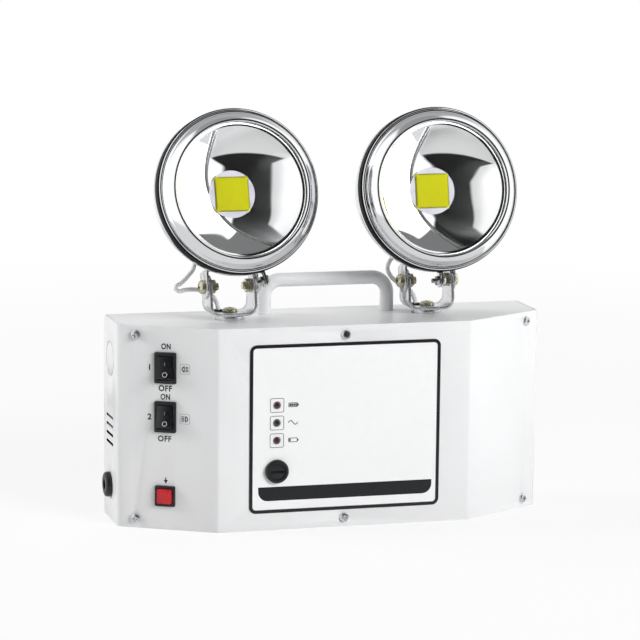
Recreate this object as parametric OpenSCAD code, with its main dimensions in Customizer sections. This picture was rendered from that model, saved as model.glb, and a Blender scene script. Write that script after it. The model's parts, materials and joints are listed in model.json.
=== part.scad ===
// Twin head emergency light: a folded steel casing with two spot heads on swivel
// brackets, a carrying handle, two rocker switches, a test button and a fuse.
// Millimetres. The origin is the centre of the casing's bottom, the front faces -Y.

/* [Casing] */
// Width over the side walls
body_w = 296; // [280:1:330]
// Depth from the back plate to the front panel
body_d = 78; // [76:1:95]
// Height of the casing
body_h = 137; // [132:1:160]
// Width of the flat front panel
front_w = 175; // [165:1:185]
// Depth of the side walls, behind the angled faces
side_d = 43; // [40:1:46]
// Thickness of the folded sheet
sheet = 1.2; // [1:0.1:1.5]
// Outer radius of the upright bends
bend_r = 5; // [3:0.5:7]
// Distance of the cover screws from the top and bottom edges
screw_inset = 6.3; // [5.5:0.1:8]
// Distance of the angled faces' screws from their outer corner
screw_from_corner = 12.8; // [10:0.1:16]
// Depth of the folded flange behind the cover's edges
flange_h = 12; // [11:0.5:16]

/* [Switches] */
// Width of a rocker switch's bezel
rocker_bezel_w = 15; // [14.5:0.1:16]
// Height of a rocker switch's bezel
rocker_bezel_h = 21; // [20.5:0.1:23]
// Distance of the switches from the face's outer corner
switch_from_corner = 33.5; // [30:0.5:37]
// Distance of the upper rocker switch from the top edge
rocker_from_top = 27.5; // [24:0.5:34]
// Distance between the two rocker switches
rocker_pitch = 33; // [28:0.5:36]
// Swing of a rocker to each side of its middle, in degrees
rocker_throw = 12; // [8:1:14]
// Width of the square test button's bezel
button_bezel_w = 14; // [13.5:0.1:15]
// Height of the test button
button_z = 22.9; // [20:0.1:28]
// Travel of the test button
button_travel = 2; // [1:0.1:2.5]

/* [Front panel] */
// Width of the printed panel plate
label_w = 132; // [120:1:140]
// Distance of the plate from the bottom edge
label_from_bottom = 11.95; // [10:0.05:14]
// Distance of the plate from the top edge
label_from_top = 11.55; // [10:0.05:14]
// Place of the indicators and the fuse, left of the middle
control_x = 47.4; // [44:0.1:50]
// Height of the top indicator
led_top_z = 84.7; // [82:0.1:88]
// Distance between the indicators
led_pitch = 11.9; // [10:0.1:12.5]
// Height of the fuse holder
fuse_z = 40.2; // [36:0.1:42]
// Diameter of the fuse holder's collar
fuse_collar_d = 15.8; // [15.4:0.1:17]

/* [Handle] */
// Diameter of the handle's bar
handle_d = 9.4; // [8:0.1:11]
// Distance of the handle's legs from the two swivel bolts, on average
handle_to_swivel = 26; // [24:0.5:34]
// Height of the handle's bar over the casing
handle_rise = 23; // [20:0.5:30]
// Radius of the handle's bends
handle_bend = 11; // [9:0.5:14]
// Distance of the handle from the back
handle_from_back = 20; // [16:0.5:23]
// Shift of the handle to the right of the middle
handle_offset = 2; // [0:0.5:3]

/* [Brackets] */
// Distance between the two swivel bolts
swivel_span = 139; // [136:1:150]
// Distance of the swivel bolts from the back
swivel_from_back = 36; // [34:0.5:40]
// Height of the tilt bolts over the bracket's underside
pivot_rise = 19.3; // [18:0.1:24]
// Width inside a swivel bracket
bracket_inside = 29; // [27:0.1:32]
// Thickness of a swivel bracket
bracket_t = 2; // [1.6:0.1:2.4]
// Width of a bracket's arms at the bolts
arm_w = 16; // [14:0.1:18]
// Width of a bracket's base
bracket_base_w = 20; // [18:0.1:24]
// Thickness of a head's yoke
yoke_t = 1.5; // [1.2:0.1:2]
// Height of the yoke's underside over the tilt bolts
yoke_rise = 10.8; // [10:0.1:13]
// Turn of the left head as it stands, in degrees, positive to the right
left_pan = 3; // [-10:1:10]
// Tilt of the left head as it stands, in degrees above level
left_tilt = 15; // [5:0.5:20]
// Turn of the right head as it stands, in degrees
right_pan = 1; // [-10:1:10]
// Tilt of the right head as it stands, in degrees above level
right_tilt = 11.5; // [5:0.5:20]

/* [Heads] */
// Outer diameter of a head's rim
rim_d = 111.2; // [106:0.2:116]
// Height of the head's axis over the tilt bolts
head_rise = 59.3; // [58:0.1:64]
// Distance of the rim's back edge in front of the tilt bolts
rim_back = 23.7; // [22:0.1:27]
// Width of the rim's side band
rim_band = 13.2; // [12:0.1:15]
// Depth of the rim's stepped face
rim_face = 8.5; // [7:0.1:10]
// Diameter of the rim's crest
rim_crest_d = 94.6; // [92:0.2:97]
// Diameter of the lens that shows
aperture_d = 89.8; // [87:0.2:90.4]
// Thickness of the rim, bowl and reflector metal
shell_t = 0.8; // [0.6:0.1:1]
// Diameter of the hole in the reflector
reflector_hole_d = 32; // [30:0.2:34]
// Depth of the reflector
reflector_depth = 21.3; // [18:0.1:24]
// Width of the square light source
chip_w = 23.2; // [20:0.2:24]
// Diameter of the bowl behind its flared mouth
bowl_d = 103.2; // [100:0.2:104]
// Length of the bowl's rounded back
bowl_back = 52; // [48:1:58]
// Angle of the left rim's lugs from straight down, in degrees
left_lug_turn = 14; // [10:1:16]
// Angle of the right rim's lugs from straight down, in degrees
right_lug_turn = -1; // [-4:1:4]

/* [Hidden] */
$fn = 48;

// How far cuts run past the face that they open
overrun = 1;
// Gap between sheets that lie side by side
sheet_gap = 0.2;
// Radial clearance of pins and screws in their holes
fit_gap = 0.05;
// Gap between faces that turn on each other
face_gap = 0.1;
// Steps in each upright bend
bend_steps = 6;
// Half a turn and a whole turn, in degrees
half_turn = 180;
full_turn = 2 * half_turn;
// A hexagon's corner radius over half its width across flats
hex_corner_share = 1 / cos(30);

// Places worked out from the casing's sizes
back_y = body_d / 2;
front_y = -body_d / 2;
side_y = back_y - side_d;
face_run = (body_w - front_w) / 2;
face_drop = body_d - side_d;
face_angle = atan2(face_drop, face_run);
casing_corners = [
    [-body_w / 2, back_y], [-body_w / 2, side_y], [-front_w / 2, front_y],
    [front_w / 2, front_y], [body_w / 2, side_y], [body_w / 2, back_y]
];
inner_floor = sheet;
lower_rocker_z = body_h - rocker_from_top - rocker_pitch;
label_h = body_h - label_from_bottom - label_from_top;
label_z = label_from_bottom + label_h / 2;
handle_span = swivel_span - 2 * handle_to_swivel;
chassis_inset = sheet + sheet_gap;
flange_inset = chassis_inset + sheet;

// Cover screws
cover_screw_r = 1.7;
cover_screw_l = 8;
cover_screw_head_r = 3.3;
cover_screw_head_h = 2;
cover_screw_play = 0.4;

// Shape of a pan head and its cross recess, as shares of its radius and height
pan_head_shares = [[0, 1], [0.5, 1], [0.78, 0.88], [0.94, 0.62], [1, 0.3], [1, 0]];
recess_length_share = 1.15;
recess_width_share = 0.26;
recess_depth_share = 0.55;

// Openings in the sheet
relief_r = 0.7;
relief_cut_r = 3.2;
relief_inset = 1.6;
vent_l = 21.3;
vent_w = 2;
vent_pitch = 5.95;
vent_count = 4;
vent_back_edge = 7.7;
vent_low_z = 52.5;
knockout_r = 11.8;
knockout_z = 109.9;
knockout_from_back = 18.8;
knockout_line_w = 0.5;
knockout_line_d = 0.35;
wall_hole_r = 2.5;
wall_hole_span = 230;
wall_hole_low_z = 30;
wall_hole_rise = 80;

// Rocker switch
bezel_t = 1.5;
bezel_r = 1;
switch_body_w = 13;
switch_body_h = 19;
switch_body_d = 19;
rocker_window_w = 11;
rocker_window_h = 16.4;
rocker_window_d = 7;
rocker_gap = 0.2;
rocker_end_z = 3.8;
rocker_middle_z = 2.6;
rocker_back_z = 2.8;
rocker_pin_r = 1;
rocker_pin_l = 0.8;
blade_w = 4.8;
blade_t = 0.8;
blade_l = 8;
blade_pitch = 7;

// Test button
button_cap_w = 9.7;
button_cap_t = 5;
button_proud = 2;
button_window_w = 10.2;
button_window_d = 8;
button_body_w = 12;
button_body_d = 16;
button_stem_r = 1.6;
button_stem_l = 8.5;
spring_outer_r = 2.7;
spring_inner_r = 2;

// Panel plate and indicators
label_t = 0.4;
label_corner_r = 4;
led_r = 2.5;
led_proud = 2;
led_body_l = 8.4;
led_flange_r = 2.9;
led_flange_t = 1;
led_leg_r = 0.3;
led_leg_pitch = 2.54;
led_play = 0.15;

// Fuse holder, its cap and the cartridge
fuse_collar_t = 3.2;
fuse_collar_bevel = 0.8;
fuse_barrel_r = 6.6;
fuse_barrel_l = 26;
fuse_cap_r = 5.6;
fuse_cap_l = 6.4;
fuse_cap_inset = 0.8;
fuse_slot_w = 1.4;
fuse_slot_d = 1.6;
fuse_slot_l = 9;
fuse_r = 2.6;
fuse_glass_r = 2.2;
fuse_l = 20;
fuse_end_l = 5.5;
fuse_end_wall = 0.3;
fuse_nut_af = 16;
fuse_nut_t = 3;

// Circuit board
board_w = 74;
board_over_fuse = 13.8;
board_from_top = 21;
board_low_z = fuse_z + board_over_fuse;
board_h = body_h - board_from_top - board_low_z;
board_t = 1.6;
board_x = -42;
board_gap = 9.8;
stud_inset = 4;
stud_r = 3;
stud_pin_r = 1.45;
stud_head_r = 2.6;
stud_head_t = 1.2;
relay_size = [19, 16, 15.5];
capacitor_r = 5;
capacitor_l = 20;
sink_size = [24, 12, 20];
terminal_size = [30, 10, 12];
relay_place_shares = [0.28, 0.3];
capacitor_place_shares = [[-0.28, 0.32], [-0.08, 0.32]];
sink_place_shares = [-0.2, -0.1];
terminal_place_shares = [0.17, -0.38];

// Transformer
core_w = 48;
core_d = 20;
core_h = 40;
core_limb_w = 8;
core_centre_w = 16;
coil_d = 32;
coil_gap = 0.3;
transformer_x = -74;
transformer_from_back = 22;

// Battery and its strap
battery_size = [88, 68, 100];
battery_x = 46;
battery_from_back = 1.5;
battery_lid_h = 9;
battery_lid_line = 0.5;
terminal_tab = [0.8, 6.3, 6.5];
terminal_inset = 14;
strap_w = 18;
strap_t = 1.2;
strap_lip = 16;
strap_gap = 0.3;

// Cord gland
gland_r = 8.5;
gland_t = 4;
gland_round = 2;
gland_thread_r = 6.2;
gland_thread_l = 11;
gland_bore_r = 3.5;
gland_nut_af = 17;
gland_nut_t = 3.5;
gland_z = 23.7;
gland_from_back = 18.7;

// Handle screws
handle_screw_r = 2.5;
handle_screw_l = 12;
handle_screw_head_r = 4.6;
handle_screw_head_h = 2.8;

// Swivel bolt, disc and bracket
disc_r = 10.2;
disc_t = 3;
disc_bevel = 0.6;
disc_notch_r = 2.2;
swivel_bolt_r = 3;
swivel_head_r = 5.2;
swivel_head_h = 2.6;
swivel_nut_af = 10;
swivel_nut_t = 5;
swivel_bolt_tail = 2;
bracket_bend = 7;
// The height where a bracket's arms reach the base's width, over their own height
base_flat_share = 0.45;
grommet_x = -6.5;
grommet_y = 5.5;
grommet_r = 2.3;
grommet_flange_r = 3.1;
grommet_flange_t = 0.8;
grommet_crown = 0.3;
slot_w = 4.2;
// Swivel of each head from straight ahead, outwards and towards the other head, in degrees
pan_out = 45;
pan_in = 15;

// Tilt bolts and yoke
tilt_bolt_r = 2.5;
tilt_head_r = 4.8;
tilt_head_h = 3.6;
tilt_nut_af = 8;
tilt_nut_t = 4;
tilt_bolt_tail = 2;
yoke_bend = 4;
rivet_r = 1.6;
rivet_head_r = 3;
rivet_head_t = 1;
rivet_span = 14;
rivet_ahead = 2;

// Rim and its lugs
rim_corner = 1.2;
rim_step = 1.6;
rim_step_drop = 0.5;
rim_lip_w = 0.9;
rim_bead_steps = 8;
lug_t = 1;
lug_w = 6.5;
lug_l = 10.5;
lug_split = 0.6;
lug_from_back = 3;
lug_hole_from_rim = 6;
lug_screw_r = 1.6;
lug_screw_head_r = 3.3;
lug_screw_head_h = 2.4;
lug_screw_tip = 4.4;
lug_nut_af = 6;
lug_nut_t = 1.6;

// Lens, gasket, reflector and light source
lens_r = 46.6;
lens_t = 3;
lens_dome = 1.4;
lens_steps = 6;
lens_from_crest = 1.9;
reflector_flange_r = 49.4;
reflector_mouth_r = 43.5;
reflector_steps = 12;
gasket_gap = 0.7;
gasket_inner_r = 46;
bowl_gap = 0.8;
bowl_flare = 6.7;
bowl_lip_r = 48.5;
bowl_flat_r = 21.5;
bowl_steps = 11;
plate_r = 20;
plate_t = 3;
chip_t = 1.3;
chip_corner_r = 1.8;

// Lamp leads
lead_r = 1.5;
lead_sides = 8;
// Direction that keeps the sides of a lead's tube in line along its length
tube_side = [0.35, 1, 0.25];
lead_exit_behind = 10;
lead_exit_turn = 25.5;
// Inside a head, from the light source's plate to the bowl's exit, in the head's frame
lead_inside = [[-8, -14.6, 47], [-8.6, -13.6, 39], [-10.5, -8, 31], [-14, 0, 26]];
// Straight run on each side of the exit
lead_straight = 3;
// Outside the left head, from the bowl's exit to the bracket's base, about its tilt bolts
left_lead_loop = [
    [-21.5, 14.8, 10], [-25.5, 14, 5.4], [-30.5, 12.5, 1.2], [-34.6, 11, -1.6], [-33, 10.5, -3.6],
    [-28, 10.8, -3.2], [-22, 11.4, -3.2], [-16.5, 11.6, -4.2], [-11.5, 9.8, -6.2], [-8.4, 7.4, -9.6]
];
// Outside the right head, the same way
right_lead_loop = [
    [-22.6, 15.2, 10.6], [-23.8, 14.8, 6.6], [-22.8, 13.6, 3], [-20.4, 12.4, -0.4],
    [-16.5, 11.6, -3.4], [-11.5, 9.8, -6.2], [-8.4, 7.4, -9.6]
];

// Places worked out from the heads' and brackets' sizes
swivel_y = back_y - swivel_from_back;
bracket_z = body_h + disc_t;
pivot_z = bracket_z + pivot_rise;
bracket_half = bracket_inside / 2 + bracket_t;
yoke_inner_half = bracket_half + face_gap;
yoke_half = yoke_inner_half + yoke_t;
slot_radius = sqrt(grommet_x * grommet_x + grommet_y * grommet_y);
slot_angle = atan2(grommet_y, grommet_x);
rim_r = rim_d / 2;
rim_front = rim_back + rim_band;
crest_f = rim_front + rim_face;
crest_r = rim_crest_d / 2;
aperture_r = aperture_d / 2;
lens_front = crest_f - lens_from_crest;
lens_back = lens_front - lens_t;
gasket_front = lens_back - shell_t;
bead_w = rim_r - 2 * rim_step - rim_corner - crest_r;
bowl_front = rim_front - rim_step_drop - shell_t - face_gap;
bowl_mouth_r = rim_r - shell_t - bowl_gap;
bowl_r = bowl_d / 2;
bowl_curve_f = rim_back - bowl_flare;
plate_front = gasket_front - reflector_depth + shell_t;
seat_drop = head_rise - yoke_rise - yoke_t;
handle_y = back_y - handle_from_back;
handle_z = body_h + handle_rise;

// Vectors and outlines

function unit(v) = v / norm(v);

function left_normal(a, b) = let (u = unit(b - a)) [-u[1], u[0]];

// An open path moved sideways by d, towards its left
function inset_path(p, d) = [
    for (i = [0 : len(p) - 1])
        i == 0 ? p[0] + d * left_normal(p[0], p[1])
        : i == len(p) - 1 ? p[i] + d * left_normal(p[i - 1], p[i])
        : let (m = left_normal(p[i - 1], p[i]), n = left_normal(p[i], p[i + 1]))
            p[i] + d * (m + n) / (1 + m * n)
];

// The arc of radius r that rounds the corner b between a and c
function corner_arc(a, b, c, r, steps) =
    let (
        u = unit(a - b),
        v = unit(c - b),
        half = acos(u * v) / 2,
        centre = b + unit(u + v) * r / sin(half),
        p = b + u * r / tan(half) - centre,
        q = b + v * r / tan(half) - centre,
        start = atan2(p[1], p[0]),
        sweep = (atan2(q[1], q[0]) - start + 3 * half_turn) % full_turn - half_turn
    )
    [for (i = [0 : steps]) let (t = start + sweep * i / steps) centre + r * [cos(t), sin(t)]];

// An open path with its inner corners rounded
function rounded_path(p, r, steps) = [
    p[0],
    for (i = [1 : len(p) - 2]) each corner_arc(p[i - 1], p[i], p[i + 1], r, steps),
    p[len(p) - 1]
];

function reversed(p) = [for (i = [len(p) - 1 : -1 : 0]) p[i]];

// A path without its two end points
function middle_points(p) = [for (i = [1 : len(p) - 2]) p[i]];

// The casing's outline seen from above, moved inwards
function casing_path(inset) =
    rounded_path(inset_path(casing_corners, inset), bend_r + sheet_gap - inset / 2, bend_steps);

// A folded strap's outline: a top of half width h at height z, and two legs down to zero
function strap_path(h, z, r) = rounded_path([[h, 0], [h, z], [-h, z], [-h, 0]], r, bend_steps);

// Points of an arc about a centre
function arc_points(centre, r, from, to, steps) =
    [for (i = [0 : steps]) let (t = from + (to - from) * i / steps) centre + r * [cos(t), sin(t)]];

// The bowl's outer radius at a place in front of the tilt bolts
function bowl_radius(f) = let (d = (bowl_curve_f - f) / bowl_back) bowl_r * sqrt(1 - d * d);

// How far the bowl's surface leans back there, in degrees
function exit_lean(f) =
    let (d = (bowl_curve_f - f) / bowl_back) atan2(d / bowl_back, sqrt(1 - d * d) / bowl_r);

// A point of a head's own frame turned up by its tilt
function tilted(p, a) = [p[0], p[1] * cos(a) + p[2] * sin(a), p[2] * cos(a) - p[1] * sin(a)];

// General shapes

module rounded_square(size, r) {
    square([size[0], size[1] - 2 * r], center = true);
    square([size[0] - 2 * r, size[1]], center = true);
    for (x = [-1, 1], y = [-1, 1])
        translate([x * (size[0] / 2 - r), y * (size[1] / 2 - r)]) circle(r);
}

module slot_shape(l, w) {
    square([l - w, w], center = true);
    for (x = [-1, 1]) translate([x * (l - w) / 2, 0]) circle(w / 2);
}

// A pan head screw along Z: its seat at zero, its head up, its shank down
module pan_screw(shank_r, shank_l, head_r, head_h) {
    difference() {
        rotate_extrude()
            polygon(concat(
                [for (s = pan_head_shares) [s[0] * head_r, s[1] * head_h]],
                [[shank_r, 0], [shank_r, -shank_l], [0, -shank_l]]
            ));
        for (a = [0, 90])
            rotate([0, 0, a])
                translate([0, 0, head_h])
                    cube(
                        [recess_length_share * head_r, recess_width_share * head_r,
                         2 * recess_depth_share * head_h],
                        center = true
                    );
    }
}

module hex_nut(af, t, bore_r) {
    difference() {
        cylinder(r = af / 2 * hex_corner_share, h = t, $fn = 6);
        translate([0, 0, -overrun]) cylinder(r = bore_r, h = t + 2 * overrun);
    }
}

// A flat shape in the Y and Z directions, drawn as Y across and Z up, given a width along X
module across(w) {
    rotate([90, 0, 90]) linear_extrude(w, center = true) children();
}

// A tube swept along points, with a ring at each
module swept_tube(p, r, sides) {
    n = len(p);
    rings = [
        for (i = [0 : n - 1])
            let (
                d = unit(p[min(i + 1, n - 1)] - p[max(i - 1, 0)]),
                u = unit(cross(d, tube_side)),
                v = cross(d, u)
            )
            for (k = [0 : sides - 1])
                let (t = full_turn * k / sides) p[i] + r * (cos(t) * u + sin(t) * v)
    ];
    polyhedron(
        points = rings,
        faces = concat(
            [[for (k = [0 : sides - 1]) sides - 1 - k]],
            [for (i = [0 : n - 2], k = [0 : sides - 1])
                let (a = i * sides, b = a + sides, j = (k + 1) % sides)
                each [[a + k, a + j, b + j], [a + k, b + j, b + k]]],
            [[for (k = [0 : sides - 1]) (n - 1) * sides + k]]
        )
    );
}

// Places on the casing: X along the face, Y up, Z out of it

module on_front(x, z) {
    translate([x, front_y, z]) rotate([90, 0, 0]) children();
}

module on_left_face(s, z) {
    translate([-body_w / 2, side_y, 0])
        rotate([0, 0, -face_angle])
            translate([s, 0, z]) rotate([90, 0, 0]) children();
}

module on_left_wall(y, z) {
    translate([-body_w / 2, y, z]) rotate([90, 0, -90]) children();
}

module at_cover_screws() {
    for (z = [screw_inset, body_h - screw_inset]) {
        on_front(0, z) children();
        for (m = [0, 1]) mirror([m, 0, 0]) on_left_face(screw_from_corner, z) children();
    }
}

// A cut right through the sheet from its outside, in a face's frame
module through_sheet() {
    translate([0, 0, -sheet - overrun]) linear_extrude(sheet + 2 * overrun) children();
}

// Casing

module casing_band(from, to) {
    polygon(concat(casing_path(from), reversed(casing_path(to))));
}

module casing_plate() {
    linear_extrude(sheet) polygon(casing_path(chassis_inset));
}

module chassis_flange() {
    linear_extrude(flange_h) casing_band(chassis_inset, flange_inset);
}

// The round end of a lead's slot at a place on its arc
function slot_end(at, start) = middle_points(
    arc_points(slot_radius * [cos(at), sin(at)], slot_w / 2, start, start + half_turn, bend_steps)
);

// The curved slot that a lamp lead travels in as its bracket turns
module lead_slot(from, to) {
    a = slot_angle + from;
    b = slot_angle + to;
    half = slot_w / 2;
    linear_extrude(sheet + 2 * overrun)
        polygon(concat(
            arc_points([0, 0], slot_radius + half, a, b, 2 * bend_steps),
            slot_end(b, b),
            arc_points([0, 0], slot_radius - half, b, a, 2 * bend_steps),
            slot_end(a, a + half_turn)
        ));
}

module chassis() {
    color("whitesmoke")
    difference() {
        union() {
            casing_plate();
            translate([0, 0, body_h - sheet]) casing_plate();
            chassis_flange();
            translate([0, 0, body_h - flange_h]) chassis_flange();
            translate([-body_w / 2 + chassis_inset, back_y - sheet, 0])
                cube([body_w - 2 * chassis_inset, sheet, body_h]);
        }
        for (p = inset_path(casing_corners, chassis_inset + relief_inset)) {
            if (p[1] < side_y + relief_cut_r) {
                translate([p[0], p[1], -overrun])
                    cylinder(r = relief_r, h = body_h + 2 * overrun);
                translate([p[0], p[1], sheet])
                    cylinder(r = relief_cut_r, h = body_h - 2 * sheet);
            }
        }
        at_cover_screws()
            cylinder(r = cover_screw_r + fit_gap, h = 2 * (flange_inset + overrun), center = true);
        for (side = [-1, 1])
            translate([side * swivel_span / 2, swivel_y, body_h - sheet - overrun]) {
                cylinder(r = swivel_bolt_r + fit_gap, h = sheet + 2 * overrun);
                lead_slot(side < 0 ? -pan_out : -pan_in, side < 0 ? pan_in : pan_out);
            }
        at_handle_legs()
            translate([0, 0, body_h - sheet - overrun])
                cylinder(r = handle_screw_r + fit_gap, h = sheet + 2 * overrun);
        for (x = [-1, 1], z = [wall_hole_low_z, wall_hole_low_z + wall_hole_rise])
            translate([x * wall_hole_span / 2, back_y + overrun, z])
                rotate([90, 0, 0]) cylinder(r = wall_hole_r, h = sheet + 2 * overrun);
    }
}

module vents() {
    for (i = [0 : vent_count - 1])
        on_left_wall(back_y - vent_back_edge - vent_l / 2, vent_low_z + i * vent_pitch)
            through_sheet() slot_shape(vent_l, vent_w);
}

module front_cover() {
    color("white")
    difference() {
        linear_extrude(body_h) casing_band(0, sheet);
        at_cover_screws()
            through_sheet() circle(cover_screw_r + cover_screw_play);
        for (z = [lower_rocker_z, lower_rocker_z + rocker_pitch])
            on_left_face(switch_from_corner, z)
                through_sheet()
                    square([switch_body_w + sheet_gap, switch_body_h + sheet_gap], center = true);
        on_left_face(switch_from_corner, button_z)
            through_sheet()
                square([button_body_w + sheet_gap, button_body_w + sheet_gap], center = true);
        for (i = [0 : 2])
            on_front(-control_x, led_top_z - i * led_pitch)
                through_sheet() circle(led_r + led_play);
        on_front(-control_x, fuse_z) through_sheet() circle(fuse_barrel_r + fit_gap);
        on_left_wall(back_y - gland_from_back, gland_z)
            through_sheet() circle(gland_thread_r + fit_gap);
        for (m = [0, 1]) mirror([m, 0, 0]) vents();
        on_left_wall(back_y - knockout_from_back, knockout_z)
            translate([0, 0, -knockout_line_d])
                linear_extrude(knockout_line_d + overrun)
                    difference() {
                        circle(knockout_r);
                        circle(knockout_r - knockout_line_w);
                    }
    }
}

module cover_screws() {
    color("silver")
    at_cover_screws()
        pan_screw(cover_screw_r, cover_screw_l, cover_screw_head_r, cover_screw_head_h);
}

module front_label() {
    color("white")
    on_front(0, label_z)
        linear_extrude(label_t)
            difference() {
                rounded_square([label_w, label_h], label_corner_r);
                for (i = [0 : 2])
                    translate([-control_x, led_top_z - i * led_pitch - label_z])
                        circle(led_r + led_play);
                translate([-control_x, fuse_z - label_z]) circle(fuse_barrel_r + fit_gap);
            }
}

// Handle

module at_handle_legs() {
    for (x = [-1, 1]) translate([handle_offset + x * handle_span / 2, handle_y, 0]) children();
}

module carry_handle() {
    r = handle_d / 2;
    leg = handle_rise - handle_bend;
    color("gainsboro")
    difference() {
        union() {
            at_handle_legs() translate([0, 0, body_h]) cylinder(r = r, h = leg);
            translate([handle_offset - handle_span / 2 + handle_bend, handle_y, handle_z])
                rotate([0, 90, 0]) cylinder(r = r, h = handle_span - 2 * handle_bend);
            for (m = [0, 1])
                translate([handle_offset, handle_y, body_h + leg])
                    mirror([m, 0, 0])
                        translate([handle_span / 2 - handle_bend, 0, 0])
                            rotate([90, 0, 0])
                                rotate_extrude(angle = 90)
                                    translate([handle_bend, 0]) circle(r);
        }
        at_handle_legs()
            translate([0, 0, body_h - overrun])
                cylinder(r = handle_screw_r + fit_gap, h = handle_screw_l + overrun);
    }
}

module handle_screws() {
    color("silver")
    at_handle_legs()
        translate([0, 0, body_h - sheet])
            rotate([180, 0, 0])
                pan_screw(handle_screw_r, handle_screw_l, handle_screw_head_r, handle_screw_head_h);
}

// Switches

module switch_body() {
    color("#1c1c1e")
    difference() {
        union() {
            linear_extrude(bezel_t) rounded_square([rocker_bezel_w, rocker_bezel_h], bezel_r);
            translate([-switch_body_w / 2, -switch_body_h / 2, -switch_body_d])
                cube([switch_body_w, switch_body_h, switch_body_d]);
            for (y = [-1, 0, 1])
                translate([0, y * blade_pitch, -switch_body_d - blade_l / 2])
                    cube([blade_w, blade_t, blade_l], center = true);
        }
        translate([-rocker_window_w / 2, -rocker_window_h / 2, -rocker_window_d])
            cube([rocker_window_w, rocker_window_h, rocker_window_d + bezel_t + overrun]);
        across(rocker_window_w + 2 * rocker_pin_l) circle(rocker_pin_r + fit_gap);
    }
}

module rocker() {
    w = rocker_window_w - 2 * rocker_gap;
    r = rocker_window_h / 2 - rocker_gap;
    color("#26262a")
    rotate([-rocker_throw, 0, 0]) {
        across(w)
            intersection() {
                circle(r, $fn = 96);
                polygon([
                    [-r, rocker_end_z], [0, rocker_middle_z], [r, rocker_end_z],
                    [r, -rocker_back_z], [-r, -rocker_back_z]
                ]);
            }
        across(w + 2 * rocker_pin_l) circle(rocker_pin_r);
    }
}

module upper_switch_body() {
    on_left_face(switch_from_corner, lower_rocker_z + rocker_pitch) switch_body();
}

module upper_rocker() {
    on_left_face(switch_from_corner, lower_rocker_z + rocker_pitch) rocker();
}

module lower_switch_body() {
    on_left_face(switch_from_corner, lower_rocker_z) switch_body();
}

module lower_rocker() {
    on_left_face(switch_from_corner, lower_rocker_z) rocker();
}

module test_switch_body() {
    color("#1c1c1e")
    on_left_face(switch_from_corner, button_z)
        difference() {
            union() {
                linear_extrude(bezel_t) rounded_square([button_bezel_w, button_bezel_w], bezel_r);
                translate([-button_body_w / 2, -button_body_w / 2, -button_body_d])
                    cube([button_body_w, button_body_w, button_body_d]);
                for (y = [-1, 1])
                    translate([0, y * blade_pitch / 2, -button_body_d - blade_l / 2])
                        cube([blade_w, blade_t, blade_l], center = true);
            }
            translate([0, 0, -button_window_d])
                linear_extrude(button_window_d + bezel_t + overrun)
                    rounded_square([button_window_w, button_window_w], bezel_r);
            translate([0, 0, bezel_t + button_proud - button_cap_t - button_stem_l - 2 * button_travel])
                cylinder(r = button_stem_r + fit_gap, h = button_body_d);
        }
}

module test_button() {
    under = bezel_t + button_proud - button_cap_t;
    color("red")
    on_left_face(switch_from_corner, button_z) {
        translate([0, 0, under])
            linear_extrude(button_cap_t) rounded_square([button_cap_w, button_cap_w], bezel_r);
        translate([0, 0, under - button_stem_l]) cylinder(r = button_stem_r, h = button_stem_l);
    }
}

module test_spring() {
    color("silver")
    on_left_face(switch_from_corner, button_z)
        translate([0, 0, -button_window_d])
            difference() {
                cylinder(
                    r = spring_outer_r,
                    h = button_window_d + bezel_t + button_proud - button_cap_t
                );
                translate([0, 0, -overrun]) cylinder(r = spring_inner_r, h = button_window_d + overrun);
            }
}

// Fuse

module fuse_holder() {
    color("#1c1c1e")
    on_front(-control_x, fuse_z) {
        difference() {
            union() {
                translate([0, 0, label_t])
                    rotate_extrude()
                        polygon([
                            [0, 0], [fuse_collar_d / 2, 0],
                            [fuse_collar_d / 2, fuse_collar_t - fuse_collar_bevel],
                            [fuse_collar_d / 2 - fuse_collar_bevel, fuse_collar_t],
                            [0, fuse_collar_t]
                        ]);
                translate([0, 0, label_t - fuse_barrel_l])
                    cylinder(r = fuse_barrel_r, h = fuse_barrel_l);
            }
            translate([0, 0, label_t + fuse_collar_t - fuse_cap_inset - fuse_cap_l])
                cylinder(r = fuse_cap_r + fit_gap, h = fuse_cap_l + fuse_cap_inset + overrun);
            translate([0, 0, label_t + fuse_collar_t - fuse_cap_inset - fuse_cap_l - fuse_l])
                cylinder(r = fuse_r + fit_gap, h = fuse_l + overrun);
        }
        translate([0, 0, -sheet - fuse_nut_t])
            hex_nut(fuse_nut_af, fuse_nut_t, fuse_barrel_r + fit_gap);
    }
}

module fuse_cap() {
    color("#141416")
    on_front(-control_x, fuse_z)
        translate([0, 0, label_t + fuse_collar_t - fuse_cap_inset - fuse_cap_l])
            difference() {
                cylinder(r = fuse_cap_r, h = fuse_cap_l);
                translate([0, 0, fuse_cap_l])
                    cube([fuse_slot_l, fuse_slot_w, 2 * fuse_slot_d], center = true);
            }
}

module fuse() {
    color("gold")
    on_front(-control_x, fuse_z)
        translate([0, 0, label_t + fuse_collar_t - fuse_cap_inset - fuse_cap_l - fuse_l]) {
            translate([0, 0, fuse_end_wall])
                cylinder(r = fuse_glass_r, h = fuse_l - 2 * fuse_end_wall);
            for (m = [0, 1])
                translate([0, 0, m * fuse_l])
                    mirror([0, 0, m])
                        difference() {
                            cylinder(r = fuse_r, h = fuse_end_l);
                            translate([0, 0, fuse_end_wall])
                                cylinder(r = fuse_glass_r, h = fuse_end_l);
                        }
        }
}

// Indicators and circuit board

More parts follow.
